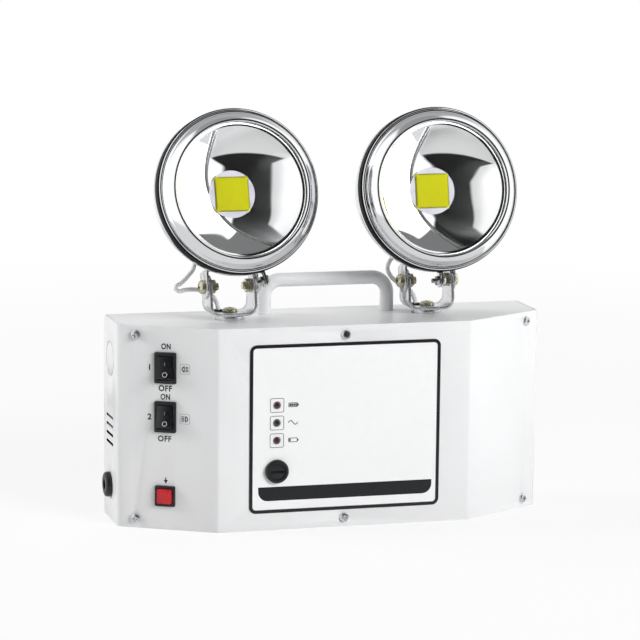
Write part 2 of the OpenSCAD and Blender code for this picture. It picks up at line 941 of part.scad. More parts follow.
module indicator(i) {
    tip = label_t + led_proud;
    on_front(-control_x, led_top_z - i * led_pitch) {
        translate([0, 0, tip - led_r]) {
            intersection() {
                sphere(led_r);
                cylinder(r = led_r, h = led_r);
            }
            translate([0, 0, -led_body_l]) cylinder(r = led_r, h = led_body_l);
            translate([0, 0, -led_body_l - led_flange_t]) cylinder(r = led_flange_r, h = led_flange_t);
        }
        for (x = [-1, 1])
            translate([x * led_leg_pitch / 2, 0, -sheet - board_gap])
                cylinder(r = led_leg_r, h = board_gap + sheet + tip - led_r - led_body_l);
    }
}

module red_indicators() {
    color("#5c1f24") {
        indicator(0);
        indicator(2);
    }
}

module green_indicator() {
    color("#3a4a42") indicator(1);
}

module on_board(x, z) {
    translate([board_x + x, front_y + sheet + board_gap, board_low_z + board_h / 2 + z])
        rotate([-90, 0, 0]) children();
}

module at_board_corners() {
    for (x = [-1, 1], z = [-1, 1])
        on_board(x * (board_w / 2 - stud_inset), z * (board_h / 2 - stud_inset)) children();
}

module circuit_board() {
    color("darkgreen")
    difference() {
        on_board(0, 0)
            linear_extrude(board_t) square([board_w, board_h], center = true);
        at_board_corners()
            translate([0, 0, -overrun]) cylinder(r = stud_pin_r + fit_gap, h = board_t + 2 * overrun);
    }
}

module block_on_board(shares, size) {
    on_board(shares[0] * board_w, shares[1] * board_h)
        translate([0, 0, board_t + size[2] / 2]) cube(size, center = true);
}

module board_parts() {
    color("#2b4a78") {
        block_on_board(relay_place_shares, relay_size);
        block_on_board(terminal_place_shares, terminal_size);
        block_on_board(sink_place_shares, sink_size);
        for (s = capacitor_place_shares)
            on_board(s[0] * board_w, s[1] * board_h)
                translate([0, 0, board_t]) cylinder(r = capacitor_r, h = capacitor_l);
    }
}

module board_studs() {
    color("silver")
    at_board_corners() {
        translate([0, 0, -board_gap]) cylinder(r = stud_r, h = board_gap);
        cylinder(r = stud_pin_r, h = board_t);
        translate([0, 0, board_t]) cylinder(r = stud_head_r, h = stud_head_t);
    }
}

// Transformer and battery

module transformer_windows(gap) {
    window_w = (core_w - 2 * core_limb_w - core_centre_w) / 2;
    for (x = [-1, 1])
        translate([x * (core_centre_w + window_w) / 2, 0, core_h / 2])
            cube(
                [window_w - 2 * gap, core_d + coil_d, core_h - 2 * core_limb_w - 2 * gap],
                center = true
            );
}

module at_transformer() {
    translate([transformer_x, back_y - transformer_from_back, inner_floor]) children();
}

module transformer_core() {
    color("#4a4a4c")
    at_transformer()
        difference() {
            translate([-core_w / 2, -core_d / 2, 0]) cube([core_w, core_d, core_h]);
            transformer_windows(0);
        }
}

module transformer_coil() {
    h = core_h - 2 * core_limb_w - 2 * coil_gap;
    w = core_w - 2 * core_limb_w - 2 * coil_gap;
    color("#c8a24a")
    at_transformer()
        translate([0, 0, core_h / 2])
            difference() {
                cube([w, coil_d, h], center = true);
                cube([core_centre_w + 2 * coil_gap, core_d + 2 * coil_gap, h + overrun], center = true);
            }
}

module battery() {
    w = battery_size[0];
    d = battery_size[1];
    h = battery_size[2];
    color("#3a3a3e")
    translate([battery_x, back_y - sheet - battery_from_back - d / 2, inner_floor]) {
        difference() {
            translate([-w / 2, -d / 2, 0]) cube([w, d, h]);
            translate([0, 0, h - battery_lid_h])
                difference() {
                    cube([w + overrun, d + overrun, battery_lid_line], center = true);
                    cube([w - 2 * battery_lid_line, d - 2 * battery_lid_line, overrun], center = true);
                }
        }
        for (x = [-1, 1])
            translate([x * (w / 2 - terminal_inset), terminal_inset - d / 2, h + terminal_tab[2] / 2])
                cube(terminal_tab, center = true);
    }
}

module battery_strap() {
    top = inner_floor + battery_size[2] + strap_gap;
    reach = battery_from_back + battery_size[1] + strap_gap;
    color("silver")
    translate([battery_x, back_y - sheet, top])
        across(strap_w)
            union() {
                translate([-reach - strap_t, 0]) square([reach + strap_t, strap_t]);
                translate([-reach - strap_t, strap_t - strap_lip]) square([strap_t, strap_lip]);
                translate([-strap_t, 0]) square([strap_t, strap_lip]);
            }
}

// Cord gland in the left wall

module cord_gland() {
    color("#1c1c1e")
    on_left_wall(back_y - gland_from_back, gland_z) {
        rotate_extrude()
            polygon(concat(
                [[gland_bore_r, -gland_thread_l], [gland_thread_r, -gland_thread_l],
                 [gland_thread_r, 0], [gland_r, 0]],
                arc_points([gland_r - gland_round, gland_t - gland_round], gland_round, 0, 90, bend_steps),
                [[gland_bore_r, gland_t]]
            ));
        translate([0, 0, -sheet - gland_nut_t])
            hex_nut(gland_nut_af, gland_nut_t, gland_thread_r + fit_gap);
    }
}

// Swivel brackets: each stands on its disc and turns about its bolt

module at_bracket(side) {
    translate([side * swivel_span / 2, swivel_y, 0])
        rotate([0, 0, side < 0 ? left_pan : right_pan]) children();
}

module at_pivot(side) {
    at_bracket(side) translate([0, 0, pivot_z]) children();
}

module at_head(side) {
    at_pivot(side) rotate([side < 0 ? -left_tilt : -right_tilt, 0, 0]) children();
}

// A head's optical axis: Z points forwards, Y up
module on_axis(side) {
    at_head(side) translate([0, 0, head_rise]) rotate([90, 0, 0]) children();
}

module bracket(side) {
    drop = pivot_rise * (1 - base_flat_share);
    color("#a9abad")
    at_pivot(side)
        difference() {
            intersection() {
                translate([0, 0, arm_w / 2])
                    mirror([0, 0, 1])
                        rotate([90, 0, 0])
                            linear_extrude(bracket_base_w, center = true)
                                polygon(concat(
                                    strap_path(bracket_half, pivot_rise + arm_w / 2, bracket_bend),
                                    reversed(strap_path(
                                        bracket_half - bracket_t,
                                        pivot_rise + arm_w / 2 - bracket_t,
                                        bracket_bend - bracket_t
                                    ))
                                ));
                across(2 * bracket_half + overrun)
                    polygon(concat(
                        arc_points([0, 0], arm_w / 2, 0, 180, 4 * bend_steps),
                        [
                            [-bracket_base_w / 2, -drop],
                            [-bracket_base_w / 2, -pivot_rise - overrun],
                            [bracket_base_w / 2, -pivot_rise - overrun], [bracket_base_w / 2, -drop]
                        ]
                    ));
            }
            across(2 * bracket_half + overrun) circle(tilt_bolt_r + fit_gap);
            translate([0, 0, -pivot_rise - overrun]) {
                cylinder(r = swivel_bolt_r + fit_gap, h = bracket_t + 2 * overrun);
                translate([grommet_x, grommet_y, 0])
                    cylinder(r = grommet_r + fit_gap, h = bracket_t + 2 * overrun);
            }
        }
}

module disc(side) {
    color("silver")
    at_bracket(side)
        translate([0, 0, body_h])
            difference() {
                rotate_extrude()
                    polygon([
                        [swivel_bolt_r + fit_gap, 0], [disc_r, 0], [disc_r, disc_t - disc_bevel],
                        [disc_r - disc_bevel, disc_t], [swivel_bolt_r + fit_gap, disc_t]
                    ]);
                translate([grommet_x, grommet_y, -overrun])
                    cylinder(r = disc_notch_r, h = disc_t + 2 * overrun);
            }
}

module swivel_bolt(side) {
    under = body_h - sheet - swivel_nut_t;
    seat = bracket_z + bracket_t + face_gap;
    color("#b9a860")
    translate([side * swivel_span / 2, swivel_y, 0]) {
        translate([0, 0, seat])
            pan_screw(swivel_bolt_r, seat - under + swivel_bolt_tail, swivel_head_r, swivel_head_h);
        translate([0, 0, under]) hex_nut(swivel_nut_af, swivel_nut_t, swivel_bolt_r + fit_gap);
    }
}

module tilt_bolts(side) {
    seat = yoke_half + face_gap;
    nut_x = bracket_inside / 2 - tilt_nut_t;
    color("#b9a860")
    at_pivot(side)
        for (m = [0, 1])
            mirror([m, 0, 0]) {
                translate([seat, 0, 0])
                    rotate([0, 90, 0])
                        pan_screw(
                            tilt_bolt_r, seat - nut_x + tilt_bolt_tail, tilt_head_r, tilt_head_h
                        );
                translate([nut_x, 0, 0])
                    rotate([0, 90, 0]) hex_nut(tilt_nut_af, tilt_nut_t, tilt_bolt_r + fit_gap);
            }
}

module base_grommet(side) {
    color("#202022")
    at_bracket(side)
        translate([grommet_x, grommet_y, bracket_z])
            rotate_extrude()
                polygon([
                    [lead_r + fit_gap, 0], [grommet_r, 0], [grommet_r, bracket_t],
                    [grommet_flange_r, bracket_t], [grommet_flange_r, bracket_t + grommet_flange_t],
                    [lead_r + fit_gap, bracket_t + grommet_flange_t]
                ]);
}

// Heads

module yoke(side) {
    top = yoke_rise + yoke_t;
    color("#c4c6c8")
    at_head(side)
        difference() {
            intersection() {
                translate([0, 0, -arm_w / 2])
                    rotate([90, 0, 0])
                        linear_extrude(arm_w, center = true)
                            polygon(concat(
                                strap_path(yoke_half, top + arm_w / 2, yoke_bend),
                                reversed(strap_path(
                                    yoke_inner_half, top + arm_w / 2 - yoke_t, yoke_bend - yoke_t
                                ))
                            ));
                across(2 * yoke_half + overrun)
                    union() {
                        circle(arm_w / 2);
                        translate([-arm_w / 2, 0]) square([arm_w, top]);
                    }
            }
            across(2 * yoke_half + overrun) circle(tilt_bolt_r + fit_gap);
            at_rivets()
                translate([0, 0, -yoke_t - overrun])
                    cylinder(r = rivet_r + fit_gap, h = yoke_t + 2 * overrun);
        }
}

// The rivets' places, in the head's frame, on the bowl's flat seat
module at_rivets() {
    for (x = [-1, 1])
        translate([x * rivet_span / 2, -rivet_ahead, yoke_rise + yoke_t]) children();
}

module yoke_rivets(side) {
    color("silver")
    at_head(side)
        at_rivets() {
            translate([0, 0, -yoke_t - rivet_head_t]) cylinder(r = rivet_head_r, h = rivet_head_t);
            translate([0, 0, -yoke_t]) cylinder(r = rivet_r, h = yoke_t + shell_t);
            translate([0, 0, shell_t]) cylinder(r = rivet_head_r, h = rivet_head_t);
        }
}

// The bowl's solid of revolution, made smaller by an inset, with the seat for the yoke
module bowl_form(inset, from, to) {
    back = bowl_back - inset;
    last = asin((bowl_curve_f - from) / back);
    intersection() {
        rotate_extrude($fn = 96)
            polygon(concat(
                [
                    [0, to], [bowl_mouth_r - inset, to],
                    [bowl_mouth_r - inset, rim_back], [bowl_r - inset, bowl_curve_f]
                ],
                [for (i = [1 : bowl_steps])
                    let (t = last * i / bowl_steps)
                    [(bowl_r - inset) * cos(t), bowl_curve_f - back * sin(t)]],
                [[0, from]]
            ));
        translate([-rim_r, inset - seat_drop, from - overrun])
            cube([2 * rim_r, 2 * rim_r + seat_drop, to - from + 2 * overrun]);
    }
}

module at_lead_exit() {
    f = -lead_exit_behind;
    rotate([0, lead_exit_turn, 0])
        translate([0, -f, -bowl_radius(f)])
            rotate([exit_lean(f), 0, 0]) children();
}

module bowl(side) {
    flat_f = bowl_curve_f - bowl_back * sqrt(1 - pow(bowl_flat_r / bowl_r, 2));
    color("#d0d2d4")
    difference() {
        on_axis(side)
            difference() {
                bowl_form(0, flat_f, bowl_front);
                bowl_form(shell_t, flat_f + shell_t, bowl_front - shell_t);
                translate([0, 0, bowl_front - shell_t - overrun])
                    cylinder(r = bowl_lip_r, h = shell_t + 2 * overrun);
            }
        at_head(side) {
            at_rivets()
                translate([0, 0, -overrun])
                    cylinder(r = rivet_r + fit_gap, h = shell_t + 2 * overrun);
            translate([0, 0, head_rise])
                at_lead_exit()
                    cylinder(r = grommet_r + fit_gap, h = 2 * (shell_t + overrun), center = true);
        }
    }
}

module bowl_grommet(side) {
    color("#202022")
    at_head(side)
        translate([0, 0, head_rise])
            at_lead_exit()
                rotate_extrude()
                    polygon([
                        [lead_r + fit_gap, -grommet_crown - grommet_flange_t],
                        [grommet_flange_r, -grommet_crown - grommet_flange_t],
                        [grommet_flange_r, -grommet_crown], [grommet_r, -grommet_crown],
                        [grommet_r, shell_t + grommet_crown],
                        [grommet_flange_r, shell_t + grommet_crown],
                        [grommet_flange_r, shell_t + grommet_crown + grommet_flange_t],
                        [lead_r + fit_gap, shell_t + grommet_crown + grommet_flange_t]
                    ]);
}

// Half section of the rim's outside, from the band's back edge to the aperture
rim_outside = concat(
    [[rim_r, rim_back]],
    corner_arc([rim_r, rim_back], [rim_r, rim_front], [crest_r, rim_front], rim_corner, bend_steps),
    [
        [crest_r + bead_w + rim_step, rim_front],
        [crest_r + bead_w + rim_step, rim_front - rim_step_drop]
    ],
    [for (i = [0 : rim_bead_steps])
        let (a = 90 * i / rim_bead_steps)
        [crest_r + bead_w * cos(a), rim_front - rim_step_drop + (rim_face + rim_step_drop) * sin(a)]],
    [[crest_r - rim_lip_w, crest_f], [aperture_r, lens_front + face_gap + shell_t]]
);

module rim_lugs() {
    for (m = [0, 1])
        mirror([m, 0, 0])
            translate([lug_split / 2 + lug_t / 2, 0, rim_back + lug_from_back + lug_w / 2])
                rotate([0, 90, 0])
                    linear_extrude(lug_t, center = true)
                        difference() {
                            union() {
                                translate([-lug_w / 2, lug_w / 2 - rim_r - lug_l])
                                    square([lug_w, lug_l + shell_t / 2 - lug_w / 2]);
                                translate([0, lug_w / 2 - rim_r - lug_l]) circle(lug_w / 2);
                            }
                            translate([0, -rim_r - lug_hole_from_rim]) circle(lug_screw_r + fit_gap);
                        }
}

module rim(side) {
    color("#dfe1e3")
    on_axis(side)
        rotate([0, 0, side < 0 ? left_lug_turn : right_lug_turn])
            difference() {
                union() {
                    rotate_extrude($fn = 128)
                        polygon(concat(
                            rim_outside, reversed(inset_path(rim_outside, shell_t))
                        ));
                    rim_lugs();
                }
                translate([-lug_split / 2, -rim_r - lug_l - overrun, rim_back - overrun])
                    cube([
                        lug_split, rim_r + lug_l + overrun,
                        rim_band + rim_face + 2 * overrun
                    ]);
            }
}

module rim_screw(side) {
    outer = lug_split / 2 + lug_t;
    color("silver")
    on_axis(side)
        rotate([0, 0, side < 0 ? left_lug_turn : right_lug_turn])
            translate([0, -rim_r - lug_hole_from_rim, rim_back + lug_from_back + lug_w / 2]) {
                translate([outer, 0, 0])
                    rotate([0, 90, 0])
                        pan_screw(
                            lug_screw_r, 2 * outer + lug_screw_tip, lug_screw_head_r, lug_screw_head_h
                        );
                translate([-outer - lug_nut_t, 0, 0])
                    rotate([0, 90, 0]) hex_nut(lug_nut_af, lug_nut_t, lug_screw_r + fit_gap);
            }
}

module lens(side) {
    rise = [for (i = [0 : lens_steps]) let (s = i / lens_steps) [lens_r * s, lens_dome * (1 - s * s)]];
    color("lightcyan", 0.4)
    on_axis(side)
        translate([0, 0, lens_back])
            rotate_extrude($fn = 96)
                polygon(concat(rise, [for (p = reversed(rise)) p + [0, lens_t]]));
}

module gasket(side) {
    t = gasket_front - bowl_front;
    color("#202022")
    on_axis(side)
        translate([0, 0, bowl_front])
            difference() {
                cylinder(r = crest_r + bead_w - shell_t - gasket_gap, h = t, $fn = 96);
                translate([0, 0, -overrun])
                    cylinder(r = gasket_inner_r, h = t + 2 * overrun, $fn = 96);
            }
}

// Half section of the reflector: a parabola from its mouth to its hole
function reflector_curve(t) =
    let (
        hole = reflector_hole_d / 2,
        bend = reflector_depth / (reflector_mouth_r * reflector_mouth_r - hole * hole)
    )
    [for (i = [0 : reflector_steps])
        let (r = reflector_mouth_r + (hole - reflector_mouth_r) * i / reflector_steps)
        [r + t, gasket_front + shell_t - bend * (reflector_mouth_r * reflector_mouth_r - r * r)]];

module reflector(side) {
    inside = reflector_curve(0);
    outside = [for (p = reflector_curve(shell_t)) [p[0], min(p[1], gasket_front)]];
    color("#e4e6e8")
    on_axis(side)
        rotate_extrude($fn = 96)
            polygon(concat(
                [[reflector_flange_r, gasket_front], [reflector_flange_r, gasket_front + shell_t]],
                inside,
                reversed(outside)
            ));
}

module led_plate(side) {
    color("#d8d8de")
    on_axis(side)
        translate([0, 0, plate_front - plate_t]) cylinder(r = plate_r, h = plate_t);
}

module led_chip(side) {
    color("yellow")
    on_axis(side)
        translate([0, 0, plate_front])
            linear_extrude(chip_t) rounded_square([chip_w, chip_w], chip_corner_r);
}

// Lamp leads, from the light source's plate to the slot under the bracket

module lamp_lead(side, loop, tilt) {
    foot = pivot_rise + disc_t + 2 * sheet;
    exit_r = bowl_radius(-lead_exit_behind);
    lean = exit_lean(-lead_exit_behind);
    down = [-sin(lead_exit_turn), 0, -cos(lead_exit_turn)];
    exit_point = [0, lead_exit_behind, head_rise] + exit_r * down;
    straight = lead_straight * (cos(lean) * down + [0, sin(lean), 0]);
    color("white")
    at_pivot(side)
        swept_tube(
            concat(
                [for (p = concat(lead_inside, [exit_point - straight, exit_point + straight]))
                    tilted(p, tilt)],
                loop,
                [for (z = [bracket_t + lead_r, 0, -disc_t - 2 * sheet])
                    [grommet_x, grommet_y, z - pivot_rise]]
            ),
            lead_r, lead_sides
        );
}

module left_bowl() { bowl(-1); }
module left_bowl_grommet() { bowl_grommet(-1); }
module left_yoke() { yoke(-1); }
module left_yoke_rivets() { yoke_rivets(-1); }
module left_rim() { rim(-1); }
module left_rim_screw() { rim_screw(-1); }
module left_lens() { lens(-1); }
module left_gasket() { gasket(-1); }
module left_reflector() { reflector(-1); }
module left_led_plate() { led_plate(-1); }
module left_led_chip() { led_chip(-1); }
module left_bracket() { bracket(-1); }
module left_tilt_bolts() { tilt_bolts(-1); }
module left_base_grommet() { base_grommet(-1); }
module left_disc() { disc(-1); }
module left_swivel_bolt() { swivel_bolt(-1); }
module left_lamp_lead() { lamp_lead(-1, left_lead_loop, left_tilt); }
module right_bowl() { bowl(1); }
module right_bowl_grommet() { bowl_grommet(1); }
module right_yoke() { yoke(1); }
module right_yoke_rivets() { yoke_rivets(1); }
module right_rim() { rim(1); }
module right_rim_screw() { rim_screw(1); }
module right_lens() { lens(1); }
module right_gasket() { gasket(1); }
module right_reflector() { reflector(1); }
module right_led_plate() { led_plate(1); }
module right_led_chip() { led_chip(1); }
module right_bracket() { bracket(1); }
module right_tilt_bolts() { tilt_bolts(1); }
module right_base_grommet() { base_grommet(1); }
module right_disc() { disc(1); }
module right_swivel_bolt() { swivel_bolt(1); }
module right_lamp_lead() { lamp_lead(1, right_lead_loop, right_tilt); }

chassis();
front_cover();
cover_screws();
front_label();
carry_handle();
handle_screws();
upper_switch_body();
upper_rocker();
lower_switch_body();
lower_rocker();
test_switch_body();
test_button();
test_spring();
fuse_holder();
fuse_cap();
fuse();
red_indicators();
green_indicator();
circuit_board();
board_parts();
board_studs();
transformer_core();
transformer_coil();
battery();
battery_strap();
cord_gland();
left_bowl();
left_bowl_grommet();
left_yoke();
left_yoke_rivets();
left_rim();
left_rim_screw();
left_lens();
left_gasket();
left_reflector();
left_led_plate();
left_led_chip();
left_bracket();
left_tilt_bolts();
left_base_grommet();
left_disc();
left_swivel_bolt();
left_lamp_lead();
right_bowl();
right_bowl_grommet();
right_yoke();
right_yoke_rivets();
right_rim();
right_rim_screw();
right_lens();
right_gasket();
right_reflector();
right_led_plate();
right_led_chip();
right_bracket();
right_tilt_bolts();
right_base_grommet();
right_disc();
right_swivel_bolt();
right_lamp_lead();
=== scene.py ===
# %% [markdown]
# A twin head emergency light, dressed for its portrait. The imported model brings every solid in
# its right place. This script gives each one its finish, and models again what a plain solid can't
# show: chrome spun in one piece, rounded edges on the handle, printed marks and soft folds in
# painted sheet.

# %% The imported model
import json
import math

import bpy
from mathutils import Matrix, Vector


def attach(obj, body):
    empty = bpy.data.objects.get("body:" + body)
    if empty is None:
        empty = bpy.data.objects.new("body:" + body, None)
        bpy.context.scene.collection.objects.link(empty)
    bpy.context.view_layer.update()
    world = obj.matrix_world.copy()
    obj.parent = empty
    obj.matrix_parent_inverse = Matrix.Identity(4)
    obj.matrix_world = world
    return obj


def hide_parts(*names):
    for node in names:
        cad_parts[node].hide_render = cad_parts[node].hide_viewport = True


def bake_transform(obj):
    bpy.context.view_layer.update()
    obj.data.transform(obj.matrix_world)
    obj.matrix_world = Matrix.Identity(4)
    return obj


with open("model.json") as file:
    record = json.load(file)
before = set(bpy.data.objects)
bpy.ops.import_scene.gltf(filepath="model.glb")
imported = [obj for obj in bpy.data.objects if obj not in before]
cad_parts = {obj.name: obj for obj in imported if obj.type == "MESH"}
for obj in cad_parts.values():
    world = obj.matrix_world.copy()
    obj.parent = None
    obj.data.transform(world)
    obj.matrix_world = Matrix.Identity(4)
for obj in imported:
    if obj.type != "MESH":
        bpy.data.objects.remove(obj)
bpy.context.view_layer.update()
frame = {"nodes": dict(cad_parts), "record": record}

solids = frame["nodes"]
slot_of = {s["node"]: s["material_slot"] for s in frame["record"]["subparts"]}

# %% [markdown]
# Sizes are easier to read in millimetres, while Blender works here in metres, so one
# value turns the first into the second. The places below repeat those of the solids:
# the casing's faces, the two swivels and how each head stands.

# %% Sizes and places
MM = 0.001
WALL_X, SIDE_Y, FRONT_Y = 148 * MM, -4 * MM, -39 * MM
FACE_DEPTH, FACE_WIDTH = 35, 60.5
FACE_ANGLE = math.atan2(FACE_DEPTH, FACE_WIDTH)
SWIVEL_X, SWIVEL_Y, PIVOT_Z = 69.5 * MM, 3 * MM, 159.3 * MM
AXIS_RISE = 59.3 * MM
SIDES = {
    "left": {"x": -SWIVEL_X, "pan": 3, "tilt": 15, "lugs": 14},
    "right": {"x": SWIVEL_X, "pan": 1, "tilt": 11.5, "lugs": -1},
}


def turn(degrees, axis):
    return Matrix.Rotation(math.radians(degrees), 4, axis)


def shift(x, y, z):
    return Matrix.Translation((x, y, z))


for side in SIDES.values():
    side["bracket"] = shift(side["x"], SWIVEL_Y, PIVOT_Z) @ turn(side["pan"], "Z")
    side["head"] = side["bracket"] @ turn(-side["tilt"], "X")
    side["axis"] = side["head"] @ shift(0, 0, AXIS_RISE) @ turn(90, "X")
LEFT_FACE = shift(-WALL_X, SIDE_Y, 0) @ Matrix.Rotation(-FACE_ANGLE, 4, "Z") @ turn(90, "X")
FRONT = shift(0, FRONT_Y, 0) @ turn(90, "X")
print("head axes", [[round(v, 3) for v in s["axis"].translation] for s in SIDES.values()])

# %% [markdown]
# The camera stands two metres away with a long lens, sixteen degrees round to the
# left and nine above level. Its three directions are built from the line of sight
# and a small roll, and set as one matrix.

# %% Camera
VIEW_YAW, VIEW_PITCH, VIEW_ROLL = 0.27775, 0.15997, 0.01067
CAMERA_AT, LENS_MM, SENSOR_MM = (-0.54883, -1.89953, 0.45324), 166.19, 36
sight = Vector((
    math.sin(VIEW_YAW) * math.cos(VIEW_PITCH),
    math.cos(VIEW_YAW) * math.cos(VIEW_PITCH),
    -math.sin(VIEW_PITCH),
))
level = Vector((math.cos(VIEW_YAW), -math.sin(VIEW_YAW), 0))
upright = level.cross(sight)
across = math.cos(VIEW_ROLL) * level + math.sin(VIEW_ROLL) * upright
above = -math.sin(VIEW_ROLL) * level + math.cos(VIEW_ROLL) * upright

bpy.ops.object.camera_add()
camera = bpy.context.object
camera.name = "portrait_camera"
camera.data.lens = LENS_MM
camera.data.sensor_width = SENSOR_MM
camera.matrix_world = (
    Matrix.Translation(CAMERA_AT)
    @ Matrix((across, above, -sight)).transposed().to_4x4()
)
bpy.context.scene.camera = camera
print("camera is", round(camera.location.length, 2), "m from the origin")

# %% [markdown]
# Shader nodes are added and wired in one line each by small helpers: a plain value
# fills a socket, and another node's output is linked to it.

# %% Node helpers
def add(tree, kind, wires=None, **settings):
    made = tree.nodes.new("ShaderNode" + kind)
    for name, value in settings.items():
        setattr(made, name, value)
    for name, value in (wires or {}).items():
        if isinstance(value, bpy.types.NodeSocket):
            tree.links.new(value, made.inputs[name])
        else:
            made.inputs[name].default_value = value
    return made


def calc(tree, operation, *terms):
    made = add(tree, "Math", dict(enumerate(terms)), operation=operation)
    return made.outputs[0]


def times(tree, first, second):
    return calc(tree, "MULTIPLY", first, second)


def noise(tree, place, scale, **more):
    return add(tree, "TexNoise", {"Vector": place, "Scale": scale, **more}).outputs[0]


def blend(tree, share, plain, other):
    return add(tree, "MixShader", {0: share, 1: plain, 2: other}).outputs[0]


def ramp(tree, value, low, high, to_low=0.0, to_high=1.0):
    made = add(
        tree, "MapRange",
        {"Value": value, "From Min": low, "From Max": high, "To Min": to_low, "To Max": to_high},
        interpolation_type="SMOOTHSTEP",
    )
    return made.outputs[0]


# %% [markdown]
# Chrome has no shape of its own, so it shows the room that it stands in. As on a real
# set, that room is built for the mirrors alone: a white wall of light on each side,
# grey behind the object, a dark hall in front and a dim ceiling. Light that comes
# through a lens has met the reflector twice where it looks straight ahead, so for it
# the hall holds three cards as well, two bright ones and a grey one. Directions are in
# degrees: azimuth round from the front towards the right, and height above level.

# %% Room for the mirrors
def band(tree, value, low, high, edge):
    """1 between low and high, 0 outside, soft over the edge"""
    inside = ramp(tree, value, low - edge, low + edge)
    return times(tree, inside, ramp(tree, value, high - edge, high + edge, 1.0, 0.0))


DEGREES = 57.2958
WALL_LIGHT, CARD_LIGHT, TABLE_LIGHT = 1.15, 2.3, 0.74
HALL_LIGHT, LENS_HALL_LIGHT, CEILING_LIGHT = 0.035, 0.008, 0.32
NEAR_SHARE, FAR_SHARE = 0.58, 0.42
# where each soft edge starts and ends, in degrees
EDGES = {
    "left_near": (45, 50), "left_far": (50, 68), "left_foot": (-22, -20),
    "right": (36, 60), "right_foot": (-36, -32), "spread": (-30, -10),
    "top": (64, 70), "back": (118, 140), "grey": (16, 32), "ceiling": (58, 68),
    "cards_end": (40, 44),
}
# each card: its left edge, its foot, its top, their softness and its light
CARD_EDGE = 2
CARDS = [(-23, 12, 45, 2, 0.2), (-19, -13, 12, 2, 0.8), (-2, -24, 33, 1, CARD_LIGHT)]
# how far the left wall leans for each degree up, and for its square above LEAN_FROM
LEAN, LEAN_FROM, LEAN_MORE = 0.2, 20, 0.0045


def mirror_room():
    group = bpy.data.node_groups.new("mirror_room", "ShaderNodeTree")
    group.interface.new_socket("Vector", in_out="INPUT", socket_type="NodeSocketVector")
    for label in ("Shown", "Through"):
        group.interface.new_socket(label, in_out="OUTPUT", socket_type="NodeSocketFloat")
    taken = group.nodes.new("NodeGroupInput").outputs["Vector"]
    given = group.nodes.new("NodeGroupOutput").inputs
    unit = add(group, "VectorMath", {0: taken}, operation="NORMALIZE").outputs[0]
    way = add(group, "SeparateXYZ", {0: unit}).outputs
    ahead = times(group, way["Y"], -1.0)
    azimuth = times(group, calc(group, "ARCTAN2", way["X"], ahead), DEGREES)
    height = times(group, calc(group, "ARCSINE", way["Z"]), DEGREES)
    # the left wall of light leans away as it rises, and fades from its near edge
    rise = times(group, calc(group, "MAXIMUM", height, 0.0), LEAN)
    steep = calc(group, "MAXIMUM", calc(group, "SUBTRACT", height, LEAN_FROM), 0.0)
    lean = calc(group, "MULTIPLY_ADD", times(group, steep, steep), LEAN_MORE, rise)
    beside = calc(group, "SUBTRACT", times(group, azimuth, -1.0), lean)
    near = ramp(group, beside, *EDGES["left_near"], 0.0, NEAR_SHARE)
    far = ramp(group, beside, *EDGES["left_far"], 0.0, FAR_SHARE)
    left_wall = times(group, calc(group, "ADD", near, far),
                      ramp(group, height, *EDGES["left_foot"]))
    # the right wall comes further round where it is low
    spread = ramp(group, height, *EDGES["spread"], 14.0, 0.0)
    right_wall = times(group, ramp(group, calc(group, "ADD", azimuth, spread), *EDGES["right"]),
                       ramp(group, height, *EDGES["right_foot"]))
    walls = times(group, calc(group, "MAXIMUM", left_wall, right_wall),
                  ramp(group, height, *EDGES["top"], 1.0, 0.0))
    # behind the object the walls turn grey, the more so the higher they are
    round_back = ramp(group, calc(group, "ABSOLUTE", azimuth), *EDGES["back"])
    behind = times(group, round_back, ramp(group, height, *EDGES["grey"], 0.25, 0.6))
    walls = times(group, walls, calc(group, "SUBTRACT", 1.0, behind))
    ceiling = ramp(group, height, *EDGES["ceiling"], 0.0, CEILING_LIGHT)
    shown = calc(group, "MAXIMUM", ramp(group, walls, 0.0, 1.0, HALL_LIGHT, WALL_LIGHT), ceiling)
    before_end = calc(group, "SUBTRACT", 1.0, ramp(group, azimuth, *EDGES["cards_end"]))
    through = ramp(group, walls, 0.0, 1.0, LENS_HALL_LIGHT, WALL_LIGHT)
    for left, low, high, edge, strength in CARDS:
        card = times(group, ramp(group, azimuth, left, left + CARD_EDGE),
                     band(group, height, low, high, edge))
        card = times(group, times(group, card, before_end), strength)
        through = calc(group, "MAXIMUM", through, card)
    group.links.new(shown, given["Shown"])
    group.links.new(through, given["Through"])
    return group


ROOM = mirror_room()
print("room with", len(CARDS), "cards")

# %% [markdown]
# The world gives the camera plain white, gives mirrors and glass the room above, and
# gives everything else an even, soft fill.

# %% World
WHITE, FILL_COLOUR, FILL_LIGHT = (1, 1, 1, 1), (0.97, 0.985, 1, 1), 0.15
world = bpy.data.worlds.new("studio")
bpy.context.scene.world = world
world.use_nodes = True
tree = world.node_tree
tree.nodes.clear()
ray = add(tree, "LightPath").outputs
room = add(tree, "Group", node_tree=ROOM)
tree.links.new(add(tree, "TexCoord").outputs["Generated"], room.inputs["Vector"])
light = {}
for name, colour, strength in (("shown", WHITE, room.outputs["Shown"]),
                               ("through", WHITE, room.outputs["Through"]),
                               ("plain", WHITE, 1.0), ("fill", FILL_COLOUR, FILL_LIGHT)):
    light[name] = add(tree, "Background", {"Color": colour, "Strength": strength}).outputs[0]
seen = blend(tree, ray["Is Glossy Ray"], light["fill"], light["shown"])
seen = blend(tree, ray["Is Transmission Ray"], seen, light["through"])
seen = blend(tree, ray["Is Camera Ray"], seen, light["plain"])
add(tree, "OutputWorld", {"Surface": seen})
print("world ready")

# %% [markdown]
# The floor is a large pale sheet. Most of what the camera sees of it is its own white,
# so that it meets the white of the room, and the rest is lit, so that the object's
# shadow stays on it. Mirrors see a white table round the object, which ends a short
# way in front and behind, and past its edge the room as seen from between the heads.

